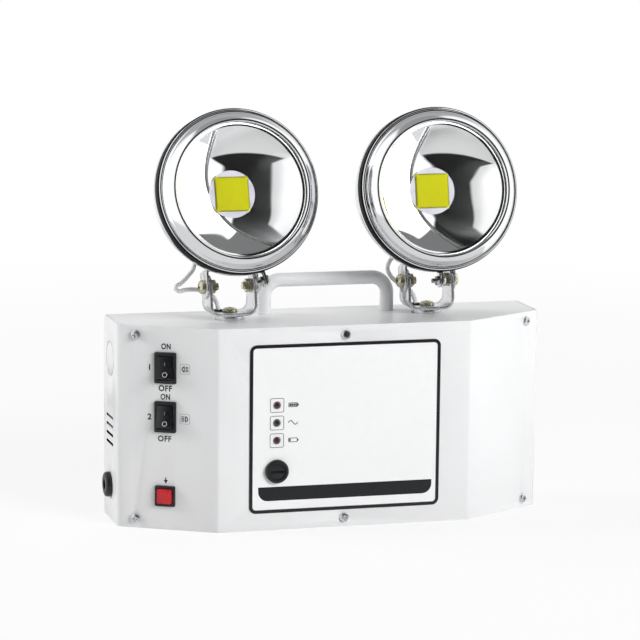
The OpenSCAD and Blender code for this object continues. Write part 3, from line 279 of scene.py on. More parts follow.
# %% Floor
HEAD_MIDDLE = (0, -0.03, 0.218)
TABLE_TURN, TABLE_EDGE, TABLE_FADE, TABLE_BACK = math.radians(12), 0.227, 0.012, (0.25, 0.4)
FLOOR_SIZE, FIBRES, PAPER, CAMERA_LIFT = 24, 900, (0.83, 0.85), 0.14
GLOW_REACH, GLOW = (0.3, 1.4), (0.82, 1.0)

bpy.ops.mesh.primitive_plane_add(size=FLOOR_SIZE)
floor = bpy.context.object
floor.name = "pale_floor"
paper = bpy.data.materials.new("floor_paper")
paper.use_nodes = True
tree = paper.node_tree
tree.nodes.clear()
spot = add(tree, "TexCoord").outputs["Object"]
ray = add(tree, "LightPath").outputs
pale = ramp(tree, noise(tree, spot, FIBRES), 0.3, 0.7, *PAPER)
pale = calc(tree, "MULTIPLY_ADD", ray["Is Camera Ray"], CAMERA_LIFT, pale)
tone = add(tree, "CombineColor", {0: pale, 1: pale, 2: pale}).outputs[0]
lit = add(tree, "BsdfDiffuse", {"Color": tone}).outputs[0]
own = add(tree, "Emission", {"Color": WHITE, "Strength": 1.0}).outputs[0]
distance = add(tree, "VectorMath", {0: spot}, operation="LENGTH").outputs["Value"]
glow = times(tree, ray["Is Camera Ray"], ramp(tree, distance, *GLOW_REACH, *GLOW))
seen = blend(tree, glow, lit, own)
room = add(tree, "Group", node_tree=ROOM)
outward = add(tree, "VectorMath", {0: spot, 1: HEAD_MIDDLE}, operation="SUBTRACT").outputs[0]
tree.links.new(outward, room.inputs["Vector"])
at = add(tree, "SeparateXYZ", {0: spot}).outputs
forward = calc(tree, "ADD", times(tree, at["X"], math.sin(TABLE_TURN)),
               times(tree, at["Y"], -math.cos(TABLE_TURN)))
table = times(tree, ramp(tree, forward, TABLE_EDGE, TABLE_EDGE + TABLE_FADE, TABLE_LIGHT, 0.0),
              ramp(tree, at["Y"], *TABLE_BACK, 1.0, 0.0))
for name, kind in (("Shown", "Is Glossy Ray"), ("Through", "Is Transmission Ray")):
    strength = calc(tree, "MAXIMUM", table, room.outputs[name])
    mirrored = add(tree, "Emission", {"Color": WHITE, "Strength": strength}).outputs[0]
    seen = blend(tree, ray[kind], seen, mirrored)
add(tree, "OutputMaterial", {"Surface": seen})
floor.data.materials.append(paper)
print(floor.name, FLOOR_SIZE, "m wide")

# %% [markdown]
# Three soft boxes light the set. The key stands in front on the right, which makes the
# right face the brightest and leaves the left one a step darker. A second one far
# round on the left lifts the left wall, and a third, high behind, lifts the top. None
# of them shows to the camera, and the mirrors have their own room.

# %% Lamps
AIM = Vector((0, 0, 0.12))


def soft_box(name, azimuth, height, distance, size, watts):
    """Aimed at the casing from a direction in degrees and a distance in metres"""
    across, up = math.radians(azimuth), math.radians(height)
    way = Vector((math.sin(across) * math.cos(up), -math.cos(across) * math.cos(up), math.sin(up)))
    bpy.ops.object.light_add(type="AREA", location=AIM + way * distance)
    lamp = bpy.context.object
    lamp.name = name
    lamp.rotation_euler = (-way).to_track_quat("-Z", "Y").to_euler()
    lamp.data.size = size
    lamp.data.energy = watts
    lamp.visible_camera = lamp.visible_glossy = lamp.visible_transmission = False
    return lamp


LAMPS = [
    soft_box("key_box", 32, 25, 2.3, 1.2, 43),
    soft_box("side_box", -112, 20, 2.0, 1.0, 25),
    soft_box("top_box", 180, 65, 2.0, 1.2, 7),
]
scene = bpy.context.scene
scene.view_settings.view_transform = "Standard"
print([lamp.name for lamp in LAMPS])

# %% [markdown]
# Three skins are shared by many finishes, so each is a node group that is built once.
# Each takes a place and a size and gives back two patterns: Tone, a slow drift that
# tints and dulls, and Height, the fine relief. Paint has the soft dimples of a baked
# powder coat, sheet metal has a cloudy coat with faint rubbing marks, and moulded
# plastic has an even grain.

# %% Skins
def new_skin(name):
    group = bpy.data.node_groups.new(name, "ShaderNodeTree")
    face = group.interface
    face.new_socket("Vector", in_out="INPUT", socket_type="NodeSocketVector")
    size = face.new_socket("Grains per metre", in_out="INPUT", socket_type="NodeSocketFloat")
    size.default_value = 400
    for label in ("Tone", "Height"):
        face.new_socket(label, in_out="OUTPUT", socket_type="NodeSocketFloat")
    taken = group.nodes.new("NodeGroupInput").outputs
    given = group.nodes.new("NodeGroupOutput").inputs
    return group, taken["Vector"], taken["Grains per metre"], given


def paint_skin():
    group, place, grains, given = new_skin("paint_skin")
    peel = noise(group, place, grains, Detail=1.5, Roughness=0.45)
    drift = noise(group, place, times(group, grains, 0.02), Detail=3.0)
    speck = noise(group, place, times(group, grains, 0.5), Detail=2.0)
    tone = calc(group, "MULTIPLY_ADD", speck, 0.3, times(group, drift, 0.7))
    group.links.new(ramp(group, tone, 0.3, 0.7), given["Tone"])
    group.links.new(peel, given["Height"])
    return group


def metal_skin():
    group, place, grains, given = new_skin("metal_skin")
    cloud = add(group, "TexVoronoi", {"Vector": place, "Scale": times(group, grains, 0.3),
                                      "Randomness": 1.0}, feature="SMOOTH_F1")
    mottle = noise(group, place, times(group, grains, 0.12), Detail=4.0)
    slender = add(group, "Mapping", {"Vector": place, "Rotation": (0.3, 0.4, 0.7),
                                     "Scale": (1, 14, 14)}).outputs[0]
    rub = noise(group, slender, times(group, grains, 0.15), Detail=3.0, Roughness=0.7)
    tone = calc(group, "MULTIPLY_ADD", cloud.outputs["Distance"], 0.45, times(group, mottle, 0.6))
    group.links.new(ramp(group, tone, 0.2, 0.75), given["Tone"])
    group.links.new(rub, given["Height"])
    return group


def plastic_skin():
    group, place, grains, given = new_skin("plastic_skin")
    grain = add(group, "TexVoronoi", {"Vector": place, "Scale": grains, "Randomness": 1.0},
                feature="SMOOTH_F1")
    haze = noise(group, place, times(group, grains, 0.06), Detail=3.0)
    group.links.new(ramp(group, haze, 0.3, 0.7), given["Tone"])
    group.links.new(grain.outputs["Distance"], given["Height"])
    return group


PAINT, METAL, PLASTIC = paint_skin(), metal_skin(), plastic_skin()
print("skins", [g.name for g in (PAINT, METAL, PLASTIC)])

# %% [markdown]
# Every finish is a colour that drifts a little, a roughness that drifts with it, and a
# bump from its skin. What is the same all over goes straight on the shader's sockets.

# %% Finish maker
MICRON = 1e-6


def finish(name, skin, grains, colour, drift, rough, relief, at="Object", **sockets):
    """colour is linear, drift its share of change, rough (least, most), relief in microns"""
    material = bpy.data.materials.new(name)
    material.use_nodes = True
    tree = material.node_tree
    shader = tree.nodes["Principled BSDF"]
    if at == "Object":
        place = add(tree, "TexCoord").outputs["Object"]
    else:
        place = add(tree, "Attribute", attribute_name=at).outputs["Vector"]
    coat = add(tree, "Group", node_tree=skin)
    tree.links.new(place, coat.inputs["Vector"])
    coat.inputs["Grains per metre"].default_value = grains
    dark = (*[c * (1 - drift) for c in colour], 1)
    light = (*[min(c * (1 + drift), 1) for c in colour], 1)
    mix = add(tree, "Mix", {0: coat.outputs["Tone"], 6: dark, 7: light}, data_type="RGBA")
    tree.links.new(mix.outputs[2], shader.inputs["Base Color"])
    tree.links.new(ramp(tree, coat.outputs["Tone"], 0.0, 1.0, *rough), shader.inputs["Roughness"])
    bump = add(tree, "Bump", {"Height": coat.outputs["Height"], "Distance": relief * MICRON,
                              "Strength": 1.0})
    tree.links.new(bump.outputs[0], shader.inputs["Normal"])
    for socket, value in sockets.items():
        shader.inputs[socket.replace("_", " ")].default_value = value
    return material


# %% [markdown]
# The finishes, one for each slot of the record, from the white powder coat to the
# yellow phosphor of the light source.

# %% Finishes
# each slot's name, skin, grains per metre, colour, drift, roughness, relief and more
FINISHES = {
    "casing_paint": ("white_powder_coat", PAINT, 900, (0.86, 0.862, 0.868), 0.012,
        (0.3, 0.4), 12, dict(Coat_Weight=0.15, Coat_Roughness=0.2)),
    "handle_paint": ("grey_handle_lacquer", PAINT, 800, (0.785, 0.79, 0.80), 0.03,
        (0.3, 0.42), 12, dict(Coat_Weight=0.2, Coat_Roughness=0.2)),
    "screw_zinc": ("bright_zinc", METAL, 1500, (0.72, 0.73, 0.75), 0.1,
        (0.16, 0.34), 8, dict(Metallic=1.0)),
    "label_sheet": ("white_panel_sheet", PLASTIC, 2600, (0.94, 0.942, 0.945), 0.008,
        (0.35, 0.45), 4, {}),
    "black_plastic": ("black_moulding", PLASTIC, 2200, (0.014, 0.015, 0.017), 0.25,
        (0.32, 0.48), 9, {}),
    "rocker_plastic": ("rocker_moulding", PLASTIC, 2800, (0.012, 0.0125, 0.014), 0.2,
        (0.22, 0.34), 6, {}),
    "red_plastic": ("red_button_moulding", PLASTIC, 2400, (0.60, 0.016, 0.024), 0.1,
        (0.25, 0.38), 6, dict(Subsurface_Weight=0.15, Subsurface_Scale=0.002)),
    "fuse_metal": ("nickelled_brass", METAL, 1500, (0.7, 0.64, 0.5), 0.1,
        (0.2, 0.35), 5, dict(Metallic=1.0)),
    "red_led": ("dark_red_dome", PLASTIC, 900, (0.055, 0.006, 0.01), 0.3,
        (0.05, 0.12), 1, dict(Coat_Weight=1.0, Coat_Roughness=0.05)),
    "green_led": ("dark_green_dome", PLASTIC, 900, (0.014, 0.022, 0.022), 0.3,
        (0.05, 0.12), 1, dict(Coat_Weight=1.0, Coat_Roughness=0.05)),
    "board_laminate": ("green_laminate", PLASTIC, 1200, (0.012, 0.09, 0.03), 0.25,
        (0.3, 0.45), 10, {}),
    "board_part_plastic": ("blue_part_moulding", PLASTIC, 1500, (0.02, 0.05, 0.2), 0.2,
        (0.3, 0.45), 6, {}),
    "core_steel": ("laminated_steel", METAL, 900, (0.2, 0.2, 0.21), 0.2,
        (0.35, 0.6), 20, dict(Metallic=0.9)),
    "coil_copper": ("taped_winding", METAL, 700, (0.6, 0.42, 0.1), 0.15, (0.35, 0.5), 20, {}),
    "battery_plastic": ("battery_case_moulding", PLASTIC, 1400, (0.04, 0.042, 0.048), 0.2,
        (0.35, 0.5), 12, {}),
    "bowl_metal": ("bright_bowl_steel", METAL, 700, (0.78, 0.79, 0.81), 0.05,
        (0.12, 0.22), 3, dict(Metallic=1.0)),
    "black_rubber": ("black_rubber", PLASTIC, 1800, (0.016, 0.016, 0.018), 0.2,
        (0.5, 0.7), 15, {}),
    "bracket_zinc": ("satin_zinc_plate", METAL, 1100, (0.74, 0.745, 0.76), 0.1,
        (0.18, 0.32), 8, dict(Metallic=0.85)),
    "disc_zinc": ("bright_disc_zinc", METAL, 1300, (0.74, 0.75, 0.77), 0.1,
        (0.16, 0.3), 6, dict(Metallic=1.0)),
    "bolt_zinc": ("yellow_zinc_plate", METAL, 1600, (0.66, 0.63, 0.46), 0.2,
        (0.16, 0.32), 8, dict(Metallic=0.85)),
    "rim_chrome": ("spun_chrome", METAL, 2600, (0.88, 0.89, 0.905), 0.05,
        (0.05, 0.2), 2.5, dict(at="section", Metallic=1.0)),
    "lens_glass": ("clear_lens_glass", PLASTIC, 120, (0.985, 0.99, 0.99), 0.004,
        (0.0, 0.01), 2, dict(Transmission_Weight=1.0, IOR=1.13)),
    "reflector_mirror": ("vacuum_mirror", METAL, 300, (0.955, 0.96, 0.965), 0.01,
        (0.015, 0.035), 0.5, dict(Metallic=1.0)),
    "plate_aluminium": ("matt_aluminium", METAL, 1500, (0.5, 0.49, 0.54), 0.05,
        (0.3, 0.45), 6, dict(Metallic=0.85)),
    "chip_yellow": ("yellow_phosphor", PLASTIC, 2600, (1.0, 0.95, 0.002), 0.03,
        (0.45, 0.6), 8, dict(Specular_IOR_Level=0.12)),
    "lead_plastic": ("white_lead_jacket", PLASTIC, 1500, (0.92, 0.922, 0.925), 0.03,
        (0.35, 0.5), 8, {}),
}
looks = {slot: finish(*facts, **more) for slot, (*facts, more) in FINISHES.items()}


def ink(name, colour, drift):
    return finish(name, PLASTIC, 3000, colour, drift, (0.4, 0.55), 3)


INK = ink("black_ink", (0.012, 0.013, 0.015), 0.2)
GREY_INK = ink("grey_ink", (0.16, 0.165, 0.17), 0.15)
PALE_INK = ink("pale_grey_ink", (0.42, 0.425, 0.43), 0.1)
DIM_INK = ink("dim_stroke_ink", (0.2, 0.2, 0.205), 0.1)
WHITE_INK = ink("white_ink", (0.7, 0.7, 0.7), 0.05)
print(len(looks), "finishes and 5 inks")

# %% [markdown]
# Two finishes change along their piece. The casing's paint carries painted shade where the sheet
# looks inwards, so the vents show a dark inside. Each rim is coloured black round its side band,
# and the chrome of the glass's seat, which hides under the bead, is dull. Distances along the rim
# come from the radius and height that each of its points keeps.

# %% Painted shade inside the casing, and the rims' black band
CASING_MIDDLE, INWARD = (0, 0, 0.07), (-12 * MM, -6 * MM)
BAND_LOW, BAND_HIGH, BAND_R = 28.5, 36.1, 53.3
SEAT_R, SEAT_F = 47.5, 43.7


def tint(tree, share, colour):
    """Mix a colour into the finish's own, by a share from 0 to 1"""
    base = tree.nodes["Principled BSDF"].inputs["Base Color"]
    mix = add(tree, "Mix", {0: share, 6: base.links[0].from_socket, 7: colour}, data_type="RGBA")
    tree.links.new(mix.outputs[2], base)


def paint_shade_inside(tree):
    facts = add(tree, "NewGeometry").outputs
    from_middle = add(tree, "VectorMath", {0: facts["Position"], 1: CASING_MIDDLE},
                      operation="SUBTRACT").outputs[0]
    outward = add(tree, "VectorMath", {0: from_middle, 1: facts["True Normal"]},
                  operation="DOT_PRODUCT")
    # Painted shade: where the sheet looks inwards, the casing's paint is tinted near black in
    # place of the shade inside the box that shows through the vents.
    inside = ramp(tree, outward.outputs["Value"], *INWARD, 1.0, 0.0)
    tint(tree, inside, (0.02, 0.02, 0.021, 1))


def black_side_band(tree):
    sockets = tree.nodes["Principled BSDF"].inputs
    kept = add(tree, "Attribute", attribute_name="section").outputs["Vector"]
    at = add(tree, "SeparateXYZ", {0: kept}).outputs
    # The side band of each rim is coloured near black here and made non-metallic.
    band_share = times(tree, ramp(tree, at["X"], (BAND_R - 0.05) * MM, (BAND_R + 0.05) * MM),
                 band(tree, at["Y"], BAND_LOW * MM, BAND_HIGH * MM, 0.06 * MM))
    seat = times(tree, ramp(tree, at["X"], SEAT_R * MM, (SEAT_R + 0.1) * MM, 1.0, 0.0),
                 band(tree, at["Y"], (SEAT_F - 0.25) * MM, (SEAT_F + 0.2) * MM, 0.02 * MM))
    tint(tree, band_share, (0.006, 0.006, 0.007, 1))
    dull = calc(tree, "MAXIMUM", times(tree, seat, 0.7), times(tree, band_share, 0.5))
    rough = calc(tree, "MAXIMUM", dull, sockets["Roughness"].links[0].from_socket)
    tree.links.new(rough, sockets["Roughness"])
    tree.links.new(calc(tree, "SUBTRACT", 1.0, band_share), sockets["Metallic"])
    tree.links.new(ramp(tree, band_share, 0.0, 1.0, 0.5, 0.08), sockets["Specular IOR Level"])


paint_shade_inside(looks["casing_paint"].node_tree)
black_side_band(looks["rim_chrome"].node_tree)
for name, solid in solids.items():
    solid.data.materials.clear()
    solid.data.materials.append(looks[slot_of[name]])
print(len(solids), "solids have their finish")

# %% [markdown]
# Modelling needs a few habits that a person keeps without thinking: clear the selection before
# adding, name what was added, and end with a piece whose place is in its mesh, that rides on its
# body, wears its slot's finish and hides the solid that it stands for.

# %% Modelling habits
def select_only(obj):
    if bpy.context.object and bpy.context.object.mode != "OBJECT":
        bpy.ops.object.mode_set(mode="OBJECT")
    bpy.ops.object.select_all(action="DESELECT")
    if obj:
        obj.select_set(True)
        bpy.context.view_layer.objects.active = obj


def named(name):
    obj = bpy.context.object
    obj.name = obj.data.name = name
    return obj


def leave_edit():
    bpy.ops.object.mode_set(mode="OBJECT")


def edit_all():
    bpy.ops.object.mode_set(mode="EDIT")
    bpy.ops.mesh.select_all(action="SELECT")


def edit_some(obj, chosen):
    """Edit mode with only those points selected whose place passes the test"""
    bpy.ops.object.mode_set(mode="EDIT")
    bpy.ops.mesh.select_all(action="DESELECT")
    leave_edit()
    for v in obj.data.vertices:
        v.select = chosen(v.co)
    bpy.ops.object.mode_set(mode="EDIT")


def leave_frame(line):
    """In edit mode, cut out a flat shape's middle and leave a line round its edge"""
    bpy.ops.mesh.select_all(action="SELECT")
    bpy.ops.mesh.inset(thickness=line * MM, depth=0)
    bpy.ops.mesh.delete(type="FACE")


def thicken(height):
    """In edit mode, give a flat shape its thickness, then leave edit mode"""
    bpy.ops.mesh.select_all(action="SELECT")
    bpy.ops.mesh.extrude_region_move(TRANSFORM_OT_translate={"value": (0, 0, height * MM)})
    bpy.ops.mesh.select_all(action="SELECT")
    bpy.ops.mesh.normals_make_consistent(inside=False)
    leave_edit()


def place(obj, matrix):
    select_only(obj)
    obj.matrix_world = matrix @ obj.matrix_world
    bpy.ops.object.transform_apply(location=True, rotation=True, scale=True)
    return obj


def modify(obj, kind, **settings):
    select_only(obj)
    modifier = obj.modifiers.new(kind.lower(), kind)
    for name, value in settings.items():
        setattr(modifier, name, value)
    bpy.ops.object.modifier_apply(modifier=modifier.name)
    return obj


def smooth(obj, degrees=30):
    select_only(obj)
    bpy.ops.object.shade_smooth_by_angle(angle=math.radians(degrees))
    return obj


def dress(obj, body, slot, material=None, stands_for=()):
    obj.data.materials.clear()
    obj.data.materials.append(material or looks[slot])
    if body:
        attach(obj, body)
    if stands_for:
        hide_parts(*stands_for)
    return obj


def join(name, parts):
    select_only(parts[0])
    for part in parts:
        part.select_set(True)
    bpy.ops.object.join()
    return named(name)


# %% [markdown]
# Sheet metal and mouldings never end in a knife edge. A copy of a solid's mesh is
# merged, its flat faces are joined again, and a narrow bevel rounds every corner, so
# that each edge catches a thin line of light. The copy then stands for the solid.

# %% Rounded copies
MERGE, FLAT_UNDER, BEVEL_OVER, SMOOTH_UNDER = 1e-6, 0.6, 28, 32


def rounded_copy(node, body, edge):
    source = solids[node]
    obj = bpy.data.objects.new(node + "_rounded", source.data.copy())
    bpy.context.scene.collection.objects.link(obj)
    select_only(obj)
    bpy.ops.mesh.customdata_custom_splitnormals_clear()
    edit_all()
    bpy.ops.mesh.remove_doubles(threshold=MERGE)
    bpy.ops.mesh.dissolve_limited(angle_limit=math.radians(FLAT_UNDER))
    leave_edit()
    modify(obj, "BEVEL", width=edge, segments=2, limit_method="ANGLE",
           angle_limit=math.radians(BEVEL_OVER), use_clamp_overlap=True)
    smooth(obj, SMOOTH_UNDER)
    return dress(obj, body, slot_of[node], stands_for=[node])


ROUNDED = {
    "casing": {"front_cover": 0.35, "carry_handle": 0.2, "upper_switch_body": 0.3,
               "lower_switch_body": 0.3, "test_switch_body": 0.3, "fuse_holder": 0.25},
    "upper_rocker": {"upper_rocker": 0.45},
    "lower_rocker": {"lower_rocker": 0.45},
    "test_button": {"test_button": 0.6},
    "fuse_cap": {"fuse_cap": 0.3},
    "left_swivel": {"left_bracket": 0.35, "left_disc": 0.25},
    "left_head": {"left_yoke": 0.3},
    "right_swivel": {"right_bracket": 0.35, "right_disc": 0.25},
    "right_head": {"right_yoke": 0.3},
}
for body, widths in ROUNDED.items():
    for node, width in widths.items():
        made = rounded_copy(node, body, width * MM)
        print(made.name, len(made.data.polygons), "faces")

# %% [markdown]
# A rim, a reflector, a lens and a bowl are all turned shapes, made in the shop by
# spinning or pressing sheet against a form. Here a single point is pushed from corner
# to corner of the half section and the line is spun about the axis.

# %% Lathe
TURNS = 192


def arc(centre, radius, start, end, steps):
    """Points from start to end, in degrees; radius is one number or one for each way"""
    wide, high = radius if isinstance(radius, tuple) else (radius, radius)
    angles = [math.radians(start + (end - start) * i / steps) for i in range(steps + 1)]
    return [(centre[0] + wide * math.cos(a), centre[1] + high * math.sin(a)) for a in angles]


def lathe(name, section):
    """section: (radius, height) in millimetres. The axis is Z, and the piece faces up it."""
    select_only(None)
    bpy.ops.mesh.primitive_plane_add(size=MM)
    obj = named(name)
    edit_all()
    bpy.ops.mesh.merge(type="CENTER")
    bpy.ops.transform.translate(value=(section[0][0] * MM, 0, section[0][1] * MM))
    for (r0, h0), (r1, h1) in zip(section, section[1:]):
        bpy.ops.mesh.extrude_region_move(
            TRANSFORM_OT_translate={"value": ((r1 - r0) * MM, 0, (h1 - h0) * MM)}
        )
    bpy.ops.mesh.select_all(action="SELECT")
    bpy.ops.mesh.spin(steps=TURNS, angle=2 * math.pi, center=(0, 0, 0), axis=(0, 0, 1))
    bpy.ops.mesh.select_all(action="SELECT")
    bpy.ops.mesh.remove_doubles(threshold=MERGE)
    bpy.ops.mesh.normals_make_consistent(inside=False)
    leave_edit()
    # each point keeps its radius and height, so that a finish can run in rings
    kept = obj.data.attributes.new("section", "FLOAT_VECTOR", "POINT")
    for v in obj.data.vertices:
        kept.data[v.index].vector = (math.hypot(v.co.x, v.co.y), v.co.z, 0)
    return obj


# %% [markdown]
# The chrome rim is one drawn ring: a rolled hem at its back edge, a straight side band that is
# coloured black, a narrow step, and a bead that leans inwards like a cone and turns in over the
# glass with a fine rolled edge. Its two ears come down at the split, where the clamp screw pulls
# them together.

# %% Rim
RIM_R, WALL = 55.6, 0.8
EAR_R, EAR_T, EAR_DROP, EAR_LENGTH, EAR_GAP, EAR_F = 3.25, 1, 7.5, 10.5, 0.8, 29.95


def bowed(start, end, bulge, steps):
    """Points from start to end along a shallow curve that swells to the left of the way"""
    dx, dy = end[0] - start[0], end[1] - start[1]
    span = math.hypot(dx, dy)
    shares = [i / steps for i in range(1, steps)]
    swell = [(t, 4 * bulge * t * (1 - t)) for t in shares]
    inner = [(start[0] + dx * t + dy / span * b, start[1] + dy * t - dx / span * b)
             for t, b in swell]
    return [start] + inner + [end]


RIM_SECTION = (
    arc((54.75, 24.55), 0.85, -90, 12, 7)
    + [(55.4, 25.2), (55.36, 25.8), (55.6, 26.6), (55.6, 33.1), (55.6, 34.0)]
    + arc((52.6, 34.0), 3.0, 8, 58, 8)
    + [(53.95, 36.35), (53.6, 36.2), (53.25, 36.35)]
    + bowed((53.05, 36.6), (51.75, 39.0), 0.1, 4)
    + [(51.62, 39.12), (51.5, 39.3)]
    + bowed((51.45, 39.5), (47.19, 44.93), 0.35, 10)
    + arc((46.35, 44.0), 1.25, 50, 138, 12)
    + [(44.97, 44.33), (44.9, 44.2), (44.93, 43.85), (45.3, 43.7), (47.3, 43.6)]
    + [(47.35, 43.4), (46.64, 40.65), (46.9, 40.56), (49.8, 40.56), (50.0, 40.3), (50.2, 36.4)]
    + [(50.6, 35.6), (53.0, 35.2), (53.6, 34.6), (54.4, 34.0), (54.6, 30.4), (54.5, 25.4)]
    + [(54.2, 24.2), (54.5, 23.75)]
)
RIM_SECTION.append(RIM_SECTION[0])


def ear(name):
    """A flat ear below the band, rounded at its foot"""
    select_only(None)
    bpy.ops.mesh.primitive_cylinder_add(vertices=48, radius=EAR_R * MM, depth=EAR_T * MM)
    obj = named(name)
    edit_some(obj, lambda at: at.y > 0.1 * MM)
    bpy.ops.transform.translate(value=(0, EAR_DROP * MM, 0))
    bpy.ops.transform.resize(value=(1, 0, 1), center_override=(0, EAR_DROP * MM, 0))
    leave_edit()
    modify(obj, "BEVEL", width=0.2 * MM, segments=2, limit_method="ANGLE",
           angle_limit=math.radians(50))
    return obj


def rim(side):
    facts = SIDES[side]
    parts = [lathe(side + "_rim_band", RIM_SECTION)]
    for way in (-1, 1):
        lug = ear(side + "_ear")
        foot = EAR_R - RIM_R - EAR_LENGTH
        place(lug, shift(way * EAR_GAP * MM, foot * MM, EAR_F * MM) @ turn(90, "Y"))
        parts.append(lug)
    obj = join(side + "_chrome_rim", parts)
    place(obj, facts["axis"] @ turn(facts["lugs"], "Z"))
    smooth(obj, 40)
    return dress(obj, side + "_head", "rim_chrome", stands_for=[side + "_rim"])


for side in SIDES:
    print(rim(side).name)

# %% [markdown]
# The reflector is a deep bowl of mirror finish, and the lens in front of it is a
# slightly domed disc of clear glass. The bowl's wall is between a cone and a parabola:
# BEND is the parabola's share, and the rest are its mouth, its hole and its depth.

# %% Reflector and lens
MOUTH_R, HOLE_R, DEPTH, MOUTH_F, BEND = 43.5, 16.0, 21.3, 40.5, 0.35
FLANGE_R = 49.4
GLASS_R, GLASS_BACK, GLASS_T, DOME = 46.6, 40.5, 3.0, 1.4


def mirror_curve(wall, steps=48):
    shares = [1 - i / steps for i in range(steps + 1)]
    return [(HOLE_R + (MOUTH_R - HOLE_R) * t + wall,
             MOUTH_F - DEPTH * (1 - (1 - BEND) * t - BEND * t * t)) for t in shares]


REFLECTOR_SECTION = (
    [(FLANGE_R, MOUTH_F - WALL), (FLANGE_R, MOUTH_F), (44.6, MOUTH_F)]
    + [(44.0, MOUTH_F - 0.1), (43.7, MOUTH_F - 0.3)]
    + mirror_curve(0)[1:]
    + [(r, min(f, MOUTH_F - WALL)) for r, f in reversed(mirror_curve(WALL))]
    + [(FLANGE_R, MOUTH_F - WALL)]
)


def dome(height, steps=16):
    shares = [i / steps for i in range(steps + 1)]
    return [(GLASS_R * s, GLASS_BACK + height + DOME * (1 - s * s)) for s in shares]


LENS_SECTION = dome(0) + list(reversed(dome(GLASS_T)))
for side, facts in SIDES.items():
    mirror = place(lathe(side + "_mirror_bowl", REFLECTOR_SECTION), facts["axis"])
    dress(smooth(mirror, 40), side + "_head", "reflector_mirror", stands_for=[side + "_reflector"])
    glass = place(lathe(side + "_domed_lens", LENS_SECTION), facts["axis"])
    dress(smooth(glass, 30), side + "_head", "lens_glass", stands_for=[side + "_lens"])
    print(mirror.name, glass.name)

# %% [markdown]
# The bowl behind each rim is pressed steel: a wide mouth that runs into a rounded
# back, and a flat pressed at its foot, where the yoke is riveted. It is spun as a thin
# skin, cut flat with a bisect that fills the cut, given its wall, and pierced for the
# lead.

# %% Bowl
BOWL_R, BOWL_BACK, CURVE_F, BACK_R, SEAT = 51.6, 51.99, 17.0, 21.5, 47.0
LEAD_TURN, LEAD_F, LEAD_HOLE_R = 25.5, -10.0, 2.35


def bowl_radius(f):
    return BOWL_R * math.sqrt(1 - ((CURVE_F - f) / BOWL_BACK) ** 2)


last = math.degrees(math.acos(BACK_R / BOWL_R))
BACK_F = CURVE_F - BOWL_BACK * math.sin(math.radians(last))
BOWL_SECTION = (
    [(48.5, 35.5), (53.4, 35.5), (53.9, 35.2), (54.0, 34.8), (54.0, 23.9)]
    + [(53.6, 22.4), (52.6, 19.4), (51.9, 17.9)]
    + [(r, CURVE_F - h) for r, h in arc((0, 0), (BOWL_R, BOWL_BACK), 2, last, 26)]
    + [(BACK_R - 1.2, BACK_F - 0.23), (0, BACK_F - 0.28)]
)


def exit_frame(head):
    """Where a lead leaves the bowl: its own Z points straight out of the wall"""
    d = (CURVE_F - LEAD_F) / BOWL_BACK
    lean = math.degrees(math.atan2(d / BOWL_BACK, math.sqrt(1 - d * d) / BOWL_R))
    return (head @ shift(0, 0, AXIS_RISE) @ turn(LEAD_TURN, "Y")
            @ shift(0, -LEAD_F * MM, -bowl_radius(LEAD_F) * MM) @ turn(lean, "X"))


def bowl(side):
    facts = SIDES[side]
    obj = lathe(side + "_pressed_bowl", BOWL_SECTION)
    select_only(obj)
    edit_all()
    bpy.ops.mesh.bisect(plane_co=(0, -SEAT * MM, 0), plane_no=(0, -1, 0),
                        use_fill=True, clear_outer=True)
    leave_edit()
    modify(obj, "SOLIDIFY", thickness=WALL * MM, offset=-1, use_even_offset=True)
    place(obj, facts["axis"])
    bpy.ops.mesh.primitive_cylinder_add(vertices=32, radius=LEAD_HOLE_R * MM, depth=6 * MM)
    drill = named("drill")
    place(drill, exit_frame(facts["head"]))
    modify(obj, "BOOLEAN", object=drill, operation="DIFFERENCE", solver="EXACT")
    bpy.data.objects.remove(drill)
    smooth(obj, 35)
    return dress(obj, side + "_head", "bowl_metal", stands_for=[side + "_bowl"])


for side in SIDES:
    print(bowl(side).name)

# %% [markdown]
# The light source is a square of yellow phosphor with rounded corners and a soft edge.
# Along each side of its face stands a row of fine dark notches.

# %% Light source
CHIP_W, CHIP_T, CHIP_F, CHIP_CORNER = 23.2, 1.3, 19.2, 1.8
NOTCH, NOTCH_PITCH, NOTCHES_ASIDE = (0.75, 0.85, 0.5), 1.5, 6


def rounded_plate(name, width, height, radius, thickness, corner_steps=6):
    """A plate with rounded corners, its back on the XY plane and its face up"""
    select_only(None)
    bpy.ops.mesh.primitive_plane_add(size=MM)
    obj = named(name)
    edit_all()
    bpy.ops.transform.resize(value=(width, height, 1))
    bpy.ops.mesh.bevel(offset=radius * MM, segments=corner_steps, affect="VERTICES")
    if thickness:
        thicken(thickness)
    leave_edit()
    return obj


def chip(side):
    facts = SIDES[side]
    obj = rounded_plate(side + "_phosphor_square", CHIP_W, CHIP_W, CHIP_CORNER, CHIP_T)
    modify(obj, "BEVEL", width=0.35 * MM, segments=2, limit_method="ANGLE",
           angle_limit=math.radians(60))
    notches = []
    for quarter in range(4):
        for i in range(-NOTCHES_ASIDE, NOTCHES_ASIDE + 1):
            select_only(None)
            bpy.ops.mesh.primitive_cube_add(size=MM)
            notch = named("notch")
            notch.scale = NOTCH
            spot = shift(i * NOTCH_PITCH * MM, (CHIP_W / 2 - 0.34) * MM, (CHIP_T - 0.2) * MM)
            place(notch, turn(90 * quarter, "Z") @ spot)
            modify(notch, "BEVEL", width=0.08 * MM, segments=1)
            notches.append(notch)
    row = join(side + "_chip_notches", notches)
    place(row, facts["axis"] @ shift(0, 0, CHIP_F * MM))
    place(obj, facts["axis"] @ shift(0, 0, CHIP_F * MM))
    smooth(obj, 40)
    dress(row, side + "_head", "chip_yellow", material=INK)
    return dress(obj, side + "_head", "chip_yellow", stands_for=[side + "_led_chip"])


for side in SIDES:
    print(chip(side).name)
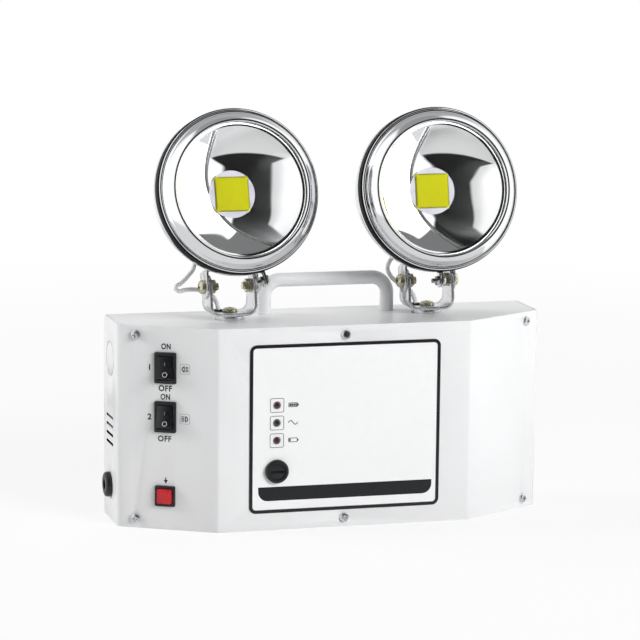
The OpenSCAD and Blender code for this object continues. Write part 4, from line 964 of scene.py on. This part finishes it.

# %% [markdown]
# Each lamp lead is a thin white cable. It leaves the bowl through a grommet, loops outside the
# bracket and dives through the bracket's foot into the casing. A curve through the route's points,
# given its thickness, makes a smooth tube.

# %% Lamp leads
LEAD_R = 1.5
INSIDE = [(-8, -14.6, 47), (-8.6, -13.6, 39), (-10.5, -8, 31), (-14, 0, 26)]
LOOPS = {
    "left": [(-21.5, 14.8, 10), (-25.5, 14, 5.4), (-30.5, 12.5, 1.2), (-34.6, 11, -1.6),
             (-33, 10.5, -3.6), (-28, 10.8, -3.2), (-22, 11.4, -3.2), (-16.5, 11.6, -4.2),
             (-11.5, 9.8, -6.2), (-8.4, 7.4, -9.6)],
    "right": [(-22.6, 15.2, 10.6), (-23.8, 14.8, 6.6), (-22.8, 13.6, 3), (-20.4, 12.4, -0.4),
              (-16.5, 11.6, -3.4), (-11.5, 9.8, -6.2), (-8.4, 7.4, -9.6)],
}
FOOT = [(-6.5, 5.5, -15.8), (-6.5, 5.5, -19.3), (-6.5, 5.5, -24.7)]


def lead(side):
    facts = SIDES[side]
    out = exit_frame(facts["head"])
    route = [facts["head"] @ (Vector(p) * MM) for p in INSIDE]
    route += [out @ Vector((0, 0, 3 * MM)), out @ Vector((0, 0, -3 * MM))]
    route += [facts["bracket"] @ (Vector(p) * MM) for p in LOOPS[side] + FOOT]
    bpy.ops.curve.primitive_bezier_curve_add()
    obj = named(side + "_lead_jacket")
    line = obj.data
    line.splines.clear()
    spline = line.splines.new("BEZIER")
    spline.bezier_points.add(len(route) - 1)
    for point, at in zip(spline.bezier_points, route):
        point.co = at
        point.handle_left_type = point.handle_right_type = "AUTO"
    line.dimensions = "3D"
    line.resolution_u = 8
    line.bevel_depth = LEAD_R * MM
    line.bevel_resolution = 5
    line.use_fill_caps = True
    obj.matrix_world = Matrix.Identity(4)
    select_only(obj)
    bpy.ops.object.convert(target="MESH")
    obj = named(side + "_lead_jacket")
    smooth(obj, 40)
    dress(obj, None, "lead_plastic", stands_for=[side + "_lamp_lead"])
    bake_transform(obj)
    return obj


for side in SIDES:
    print(lead(side).name)

# %% [markdown]
# The front plate is screen printed: a black border, a black bar at its foot, and a
# thin grey square round each indicator. Ink has a little thickness, so each mark is a
# plate a few hundredths of a millimetre proud, sunk a hair into what it is printed on,
# its corners rounded by a bevel and its middle cut out by an inset.

# %% Printed frames and bars
INK_T, INK_SINK = 0.06, 0.01
LABEL_TOP, LABEL_MIDDLE = 0.4, 68.7


def printed_frame(name, width, height, radius, line):
    obj = rounded_plate(name, width, height, radius, 0)
    edit_all()
    leave_frame(line)
    thicken(INK_T)
    return obj


def on_label(obj, x, z):
    return place(obj, FRONT @ shift(x * MM, z * MM, (LABEL_TOP - INK_SINK) * MM))


border = on_label(printed_frame("label_border", 132.4, 113.9, 4.6, 2.3), 0, LABEL_MIDDLE)
dress(border, "casing", "label_sheet", material=INK)
BAR, BAR_CORNER, BAR_AT = (121, 9.5), 6.5, (0.5, 24.75)


def bottom_bar():
    """Its two lower corners are round"""
    select_only(None)
    bpy.ops.mesh.primitive_plane_add(size=MM)
    obj = named("label_bar")
    edit_all()
    bpy.ops.transform.resize(value=(*BAR, 1))
    edit_some(obj, lambda at: at.y < 0)
    bpy.ops.mesh.bevel(offset=BAR_CORNER * MM, segments=8, affect="VERTICES")
    thicken(INK_T)
    return on_label(obj, *BAR_AT)


dress(bottom_bar(), "casing", "label_sheet", material=INK)
CONTROL_X, LED_ZS = -47.4, (84.7, 72.8, 60.9)
squares = [on_label(printed_frame("led_square", 9.7, 9.7, 1.3, 0.45), CONTROL_X, z)
           for z in LED_ZS]
dress(join("indicator_squares", squares), "casing", "label_sheet", material=GREY_INK)
print("front plate printed")

# %% [markdown]
# Small signs tell the indicators apart without a word: a full cell for charge, a mains
# wave, and a cell that runs low. They are put together from plates and a wave of short
# strokes.

# %% Indicator signs
SIGN_X, SIGN_W, WAVE_UP, WAVE_STROKES, STROKE_W = -36.4, 6.4, 1.3, 14, 0.55


def bar(name, width, height, x, y):
    obj = rounded_plate(name, width, height, 0.12, INK_T, 2)
    return place(obj, shift(x * MM, y * MM, 0))


def cell_sign(name, filled):
    parts = [printed_frame(name, SIGN_W, 3.0, 0.5, 0.45), bar("nub", 0.6, 1.4, 3.5, 0)]
    parts += [bar("fill", 1.1, 1.6, -2.0 + 1.35 * i, 0) for i in range(filled)]
    return join(name, parts)


def wave_sign(name):
    """One turn of a wave, in strokes that overlap by a quarter"""
    parts = []
    for i in range(WAVE_STROKES):
        s = (i + 0.5) / WAVE_STROKES
        turned = 2 * math.pi * s
        slope = math.atan(WAVE_UP * 2 * math.pi / SIGN_W * math.cos(turned))
        length = SIGN_W / WAVE_STROKES * 1.25 / math.cos(slope)
        stroke = rounded_plate("stroke", length, STROKE_W, 0.1, INK_T, 2)
        place(stroke, shift((s - 0.5) * SIGN_W * MM, WAVE_UP * math.sin(turned) * MM, 0)
              @ turn(math.degrees(slope), "Z"))
        parts.append(stroke)
    return join(name, parts)


signs = [cell_sign("charge_sign", 4), wave_sign("mains_sign"), cell_sign("low_sign", 1)]
for sign, z in zip(signs, LED_ZS):
    on_label(sign, SIGN_X, z)
dress(join("indicator_signs", signs), "casing", "label_sheet", material=INK)
print(len(signs), "indicator signs")

# %% [markdown]
# The angled face carries the switch marks: ON and OFF, the numbers of the two lamps,
# and a small lamp sign in a pale square. Letters start as text, become a mesh and get
# the ink's thickness. Each word below has its height, its stretch and its place, along
# the face and up.

# %% Switch marks
WORDS = [
    ("ON", 3.8, 0.78, 33.8, 123.7), ("OFF", 3.9, 0.93, 33.3, 95.5),
    ("ON", 3.8, 0.78, 33.4, 89.8), ("OFF", 3.9, 0.93, 32.9, 61.5),
    ("1", 4.0, 1.0, 22.4, 109.2), ("2", 4.0, 1.0, 22.4, 75.9),
]
CAPITALS, BOLD, LETTER_GAP = 0.729, 0.042, 1.12
LAMP_S, LAMP_ZS, HALF_R, HALF_LINE = 46.85, (109.2, 75.7), 2.05, 0.62


def on_left_face(obj, s, z):
    return place(obj, LEFT_FACE @ shift(s * MM, z * MM, -INK_SINK * MM))


def lettering(words, height, stretch):
    select_only(None)
    bpy.ops.object.text_add()
    obj = bpy.context.object
    obj.data.body = words
    obj.data.size = height / CAPITALS * MM
    obj.data.align_x, obj.data.align_y = "CENTER", "CENTER"
    obj.data.offset = BOLD * height * MM
    obj.data.space_character = LETTER_GAP
    select_only(obj)
    bpy.ops.object.convert(target="MESH")
    obj = named("mark_" + words)
    obj.scale = (stretch, 1, 1)
    bpy.ops.object.transform_apply(location=True, rotation=True, scale=True)
    edit_all()
    bpy.ops.mesh.remove_doubles(threshold=MERGE)
    thicken(INK_T)
    return obj


def lamp_sign(flip):
    """A half round lamp and four beams, to the left for 1 and to the right for -1"""
    parts = [bar("beam", 2.1, 0.55, -1.35 * flip, 1.5 - i * 1.0) for i in range(4)]
    select_only(None)
    bpy.ops.mesh.primitive_circle_add(vertices=40, radius=HALF_R * MM, fill_type="NGON")
    half = named("lamp_half")
    edit_all()
    bpy.ops.mesh.bisect(plane_co=(0, 0, 0), plane_no=(flip, 0, 0), clear_inner=True)
    leave_frame(HALF_LINE)
    thicken(INK_T)
    parts.append(place(half, shift(0.25 * flip * MM, 0, 0)))
    return join("lamp_sign", parts)


marks = [on_left_face(lettering(*word), s, z) for *word, s, z in WORDS]
marks += [on_left_face(lamp_sign(flip), LAMP_S, z) for flip, z in zip((-1, 1), LAMP_ZS)]
dress(join("switch_marks", marks), "casing", "casing_paint", material=INK)
lamp_squares = [on_left_face(printed_frame("lamp_square", 6.9, 6.8, 1.0, 0.32), LAMP_S, z)
                for z in LAMP_ZS]
dress(join("lamp_sign_squares", lamp_squares), "casing", "casing_paint", material=PALE_INK)
print(len(WORDS), "words and", len(LAMP_ZS), "lamp signs")

# %% [markdown]
# Above the test button a small arrow shows which way to press: a short bar and a
# triangle that points at the button.

# %% Press sign
ARROW_R, ARROW_AT = 1.7, (33.8, 33.0)
select_only(None)
bpy.ops.mesh.primitive_circle_add(vertices=3, radius=ARROW_R * MM, fill_type="NGON")
arrow = named("press_arrow")
edit_all()
bpy.ops.transform.rotate(value=math.pi, orient_axis="Z", center_override=(0, 0, 0))
thicken(INK_T)
sign = join("press_sign", [arrow, bar("press_stem", 0.7, 1.8, 0, 1.6)])
dress(on_left_face(sign, *ARROW_AT), "casing", "casing_paint", material=INK)
print(sign.name)

# %% [markdown]
# The rockers carry their own marks, a dim stroke for on and a white ring for off,
# moulded a hair proud of the two halves of the rocker's hollow face.

# %% Rocker marks
ROCKER_TURN, HOLLOW = -12, math.degrees(math.atan2(1.2, 8.0))
SWITCH_S, SWITCH_ZS = 33.5, {"upper_rocker": 109.5, "lower_rocker": 76.5}
CREASE, SLOPE, MARK_T = 2.6, 0.15, 0.08
STROKE_UP, RING_ASIDE, RING_DOWN, RING_R, RING_LINE = 2.1, 0.6, 4.8, 1.7, 0.36


def ring(name):
    select_only(None)
    bpy.ops.mesh.primitive_circle_add(vertices=40, radius=RING_R * MM, fill_type="NGON")
    obj = named(name)
    edit_all()
    leave_frame(RING_LINE)
    thicken(MARK_T)
    return obj


def on_slope(away):
    """How high the hollow face stands at a distance from its crease, less the sink"""
    return (CREASE + SLOPE * away - INK_SINK) * MM


for rocker, z in SWITCH_ZS.items():
    stand = LEFT_FACE @ shift(SWITCH_S * MM, z * MM, 0) @ turn(ROCKER_TURN, "X")
    stroke = rounded_plate(rocker + "_stroke", STROKE_W, 2.4, 0.1, MARK_T, 2)
    place(stroke, stand @ shift(0, STROKE_UP * MM, on_slope(STROKE_UP)) @ turn(HOLLOW, "X"))
    circle = ring(rocker + "_ring")
    aside = shift(RING_ASIDE * MM, -RING_DOWN * MM, on_slope(RING_DOWN))
    place(circle, stand @ aside @ turn(-HOLLOW, "X"))
    dress(circle, rocker, "rocker_plastic", material=WHITE_INK)
    dress(stroke, rocker, "rocker_plastic", material=DIM_INK)
print("switches marked")
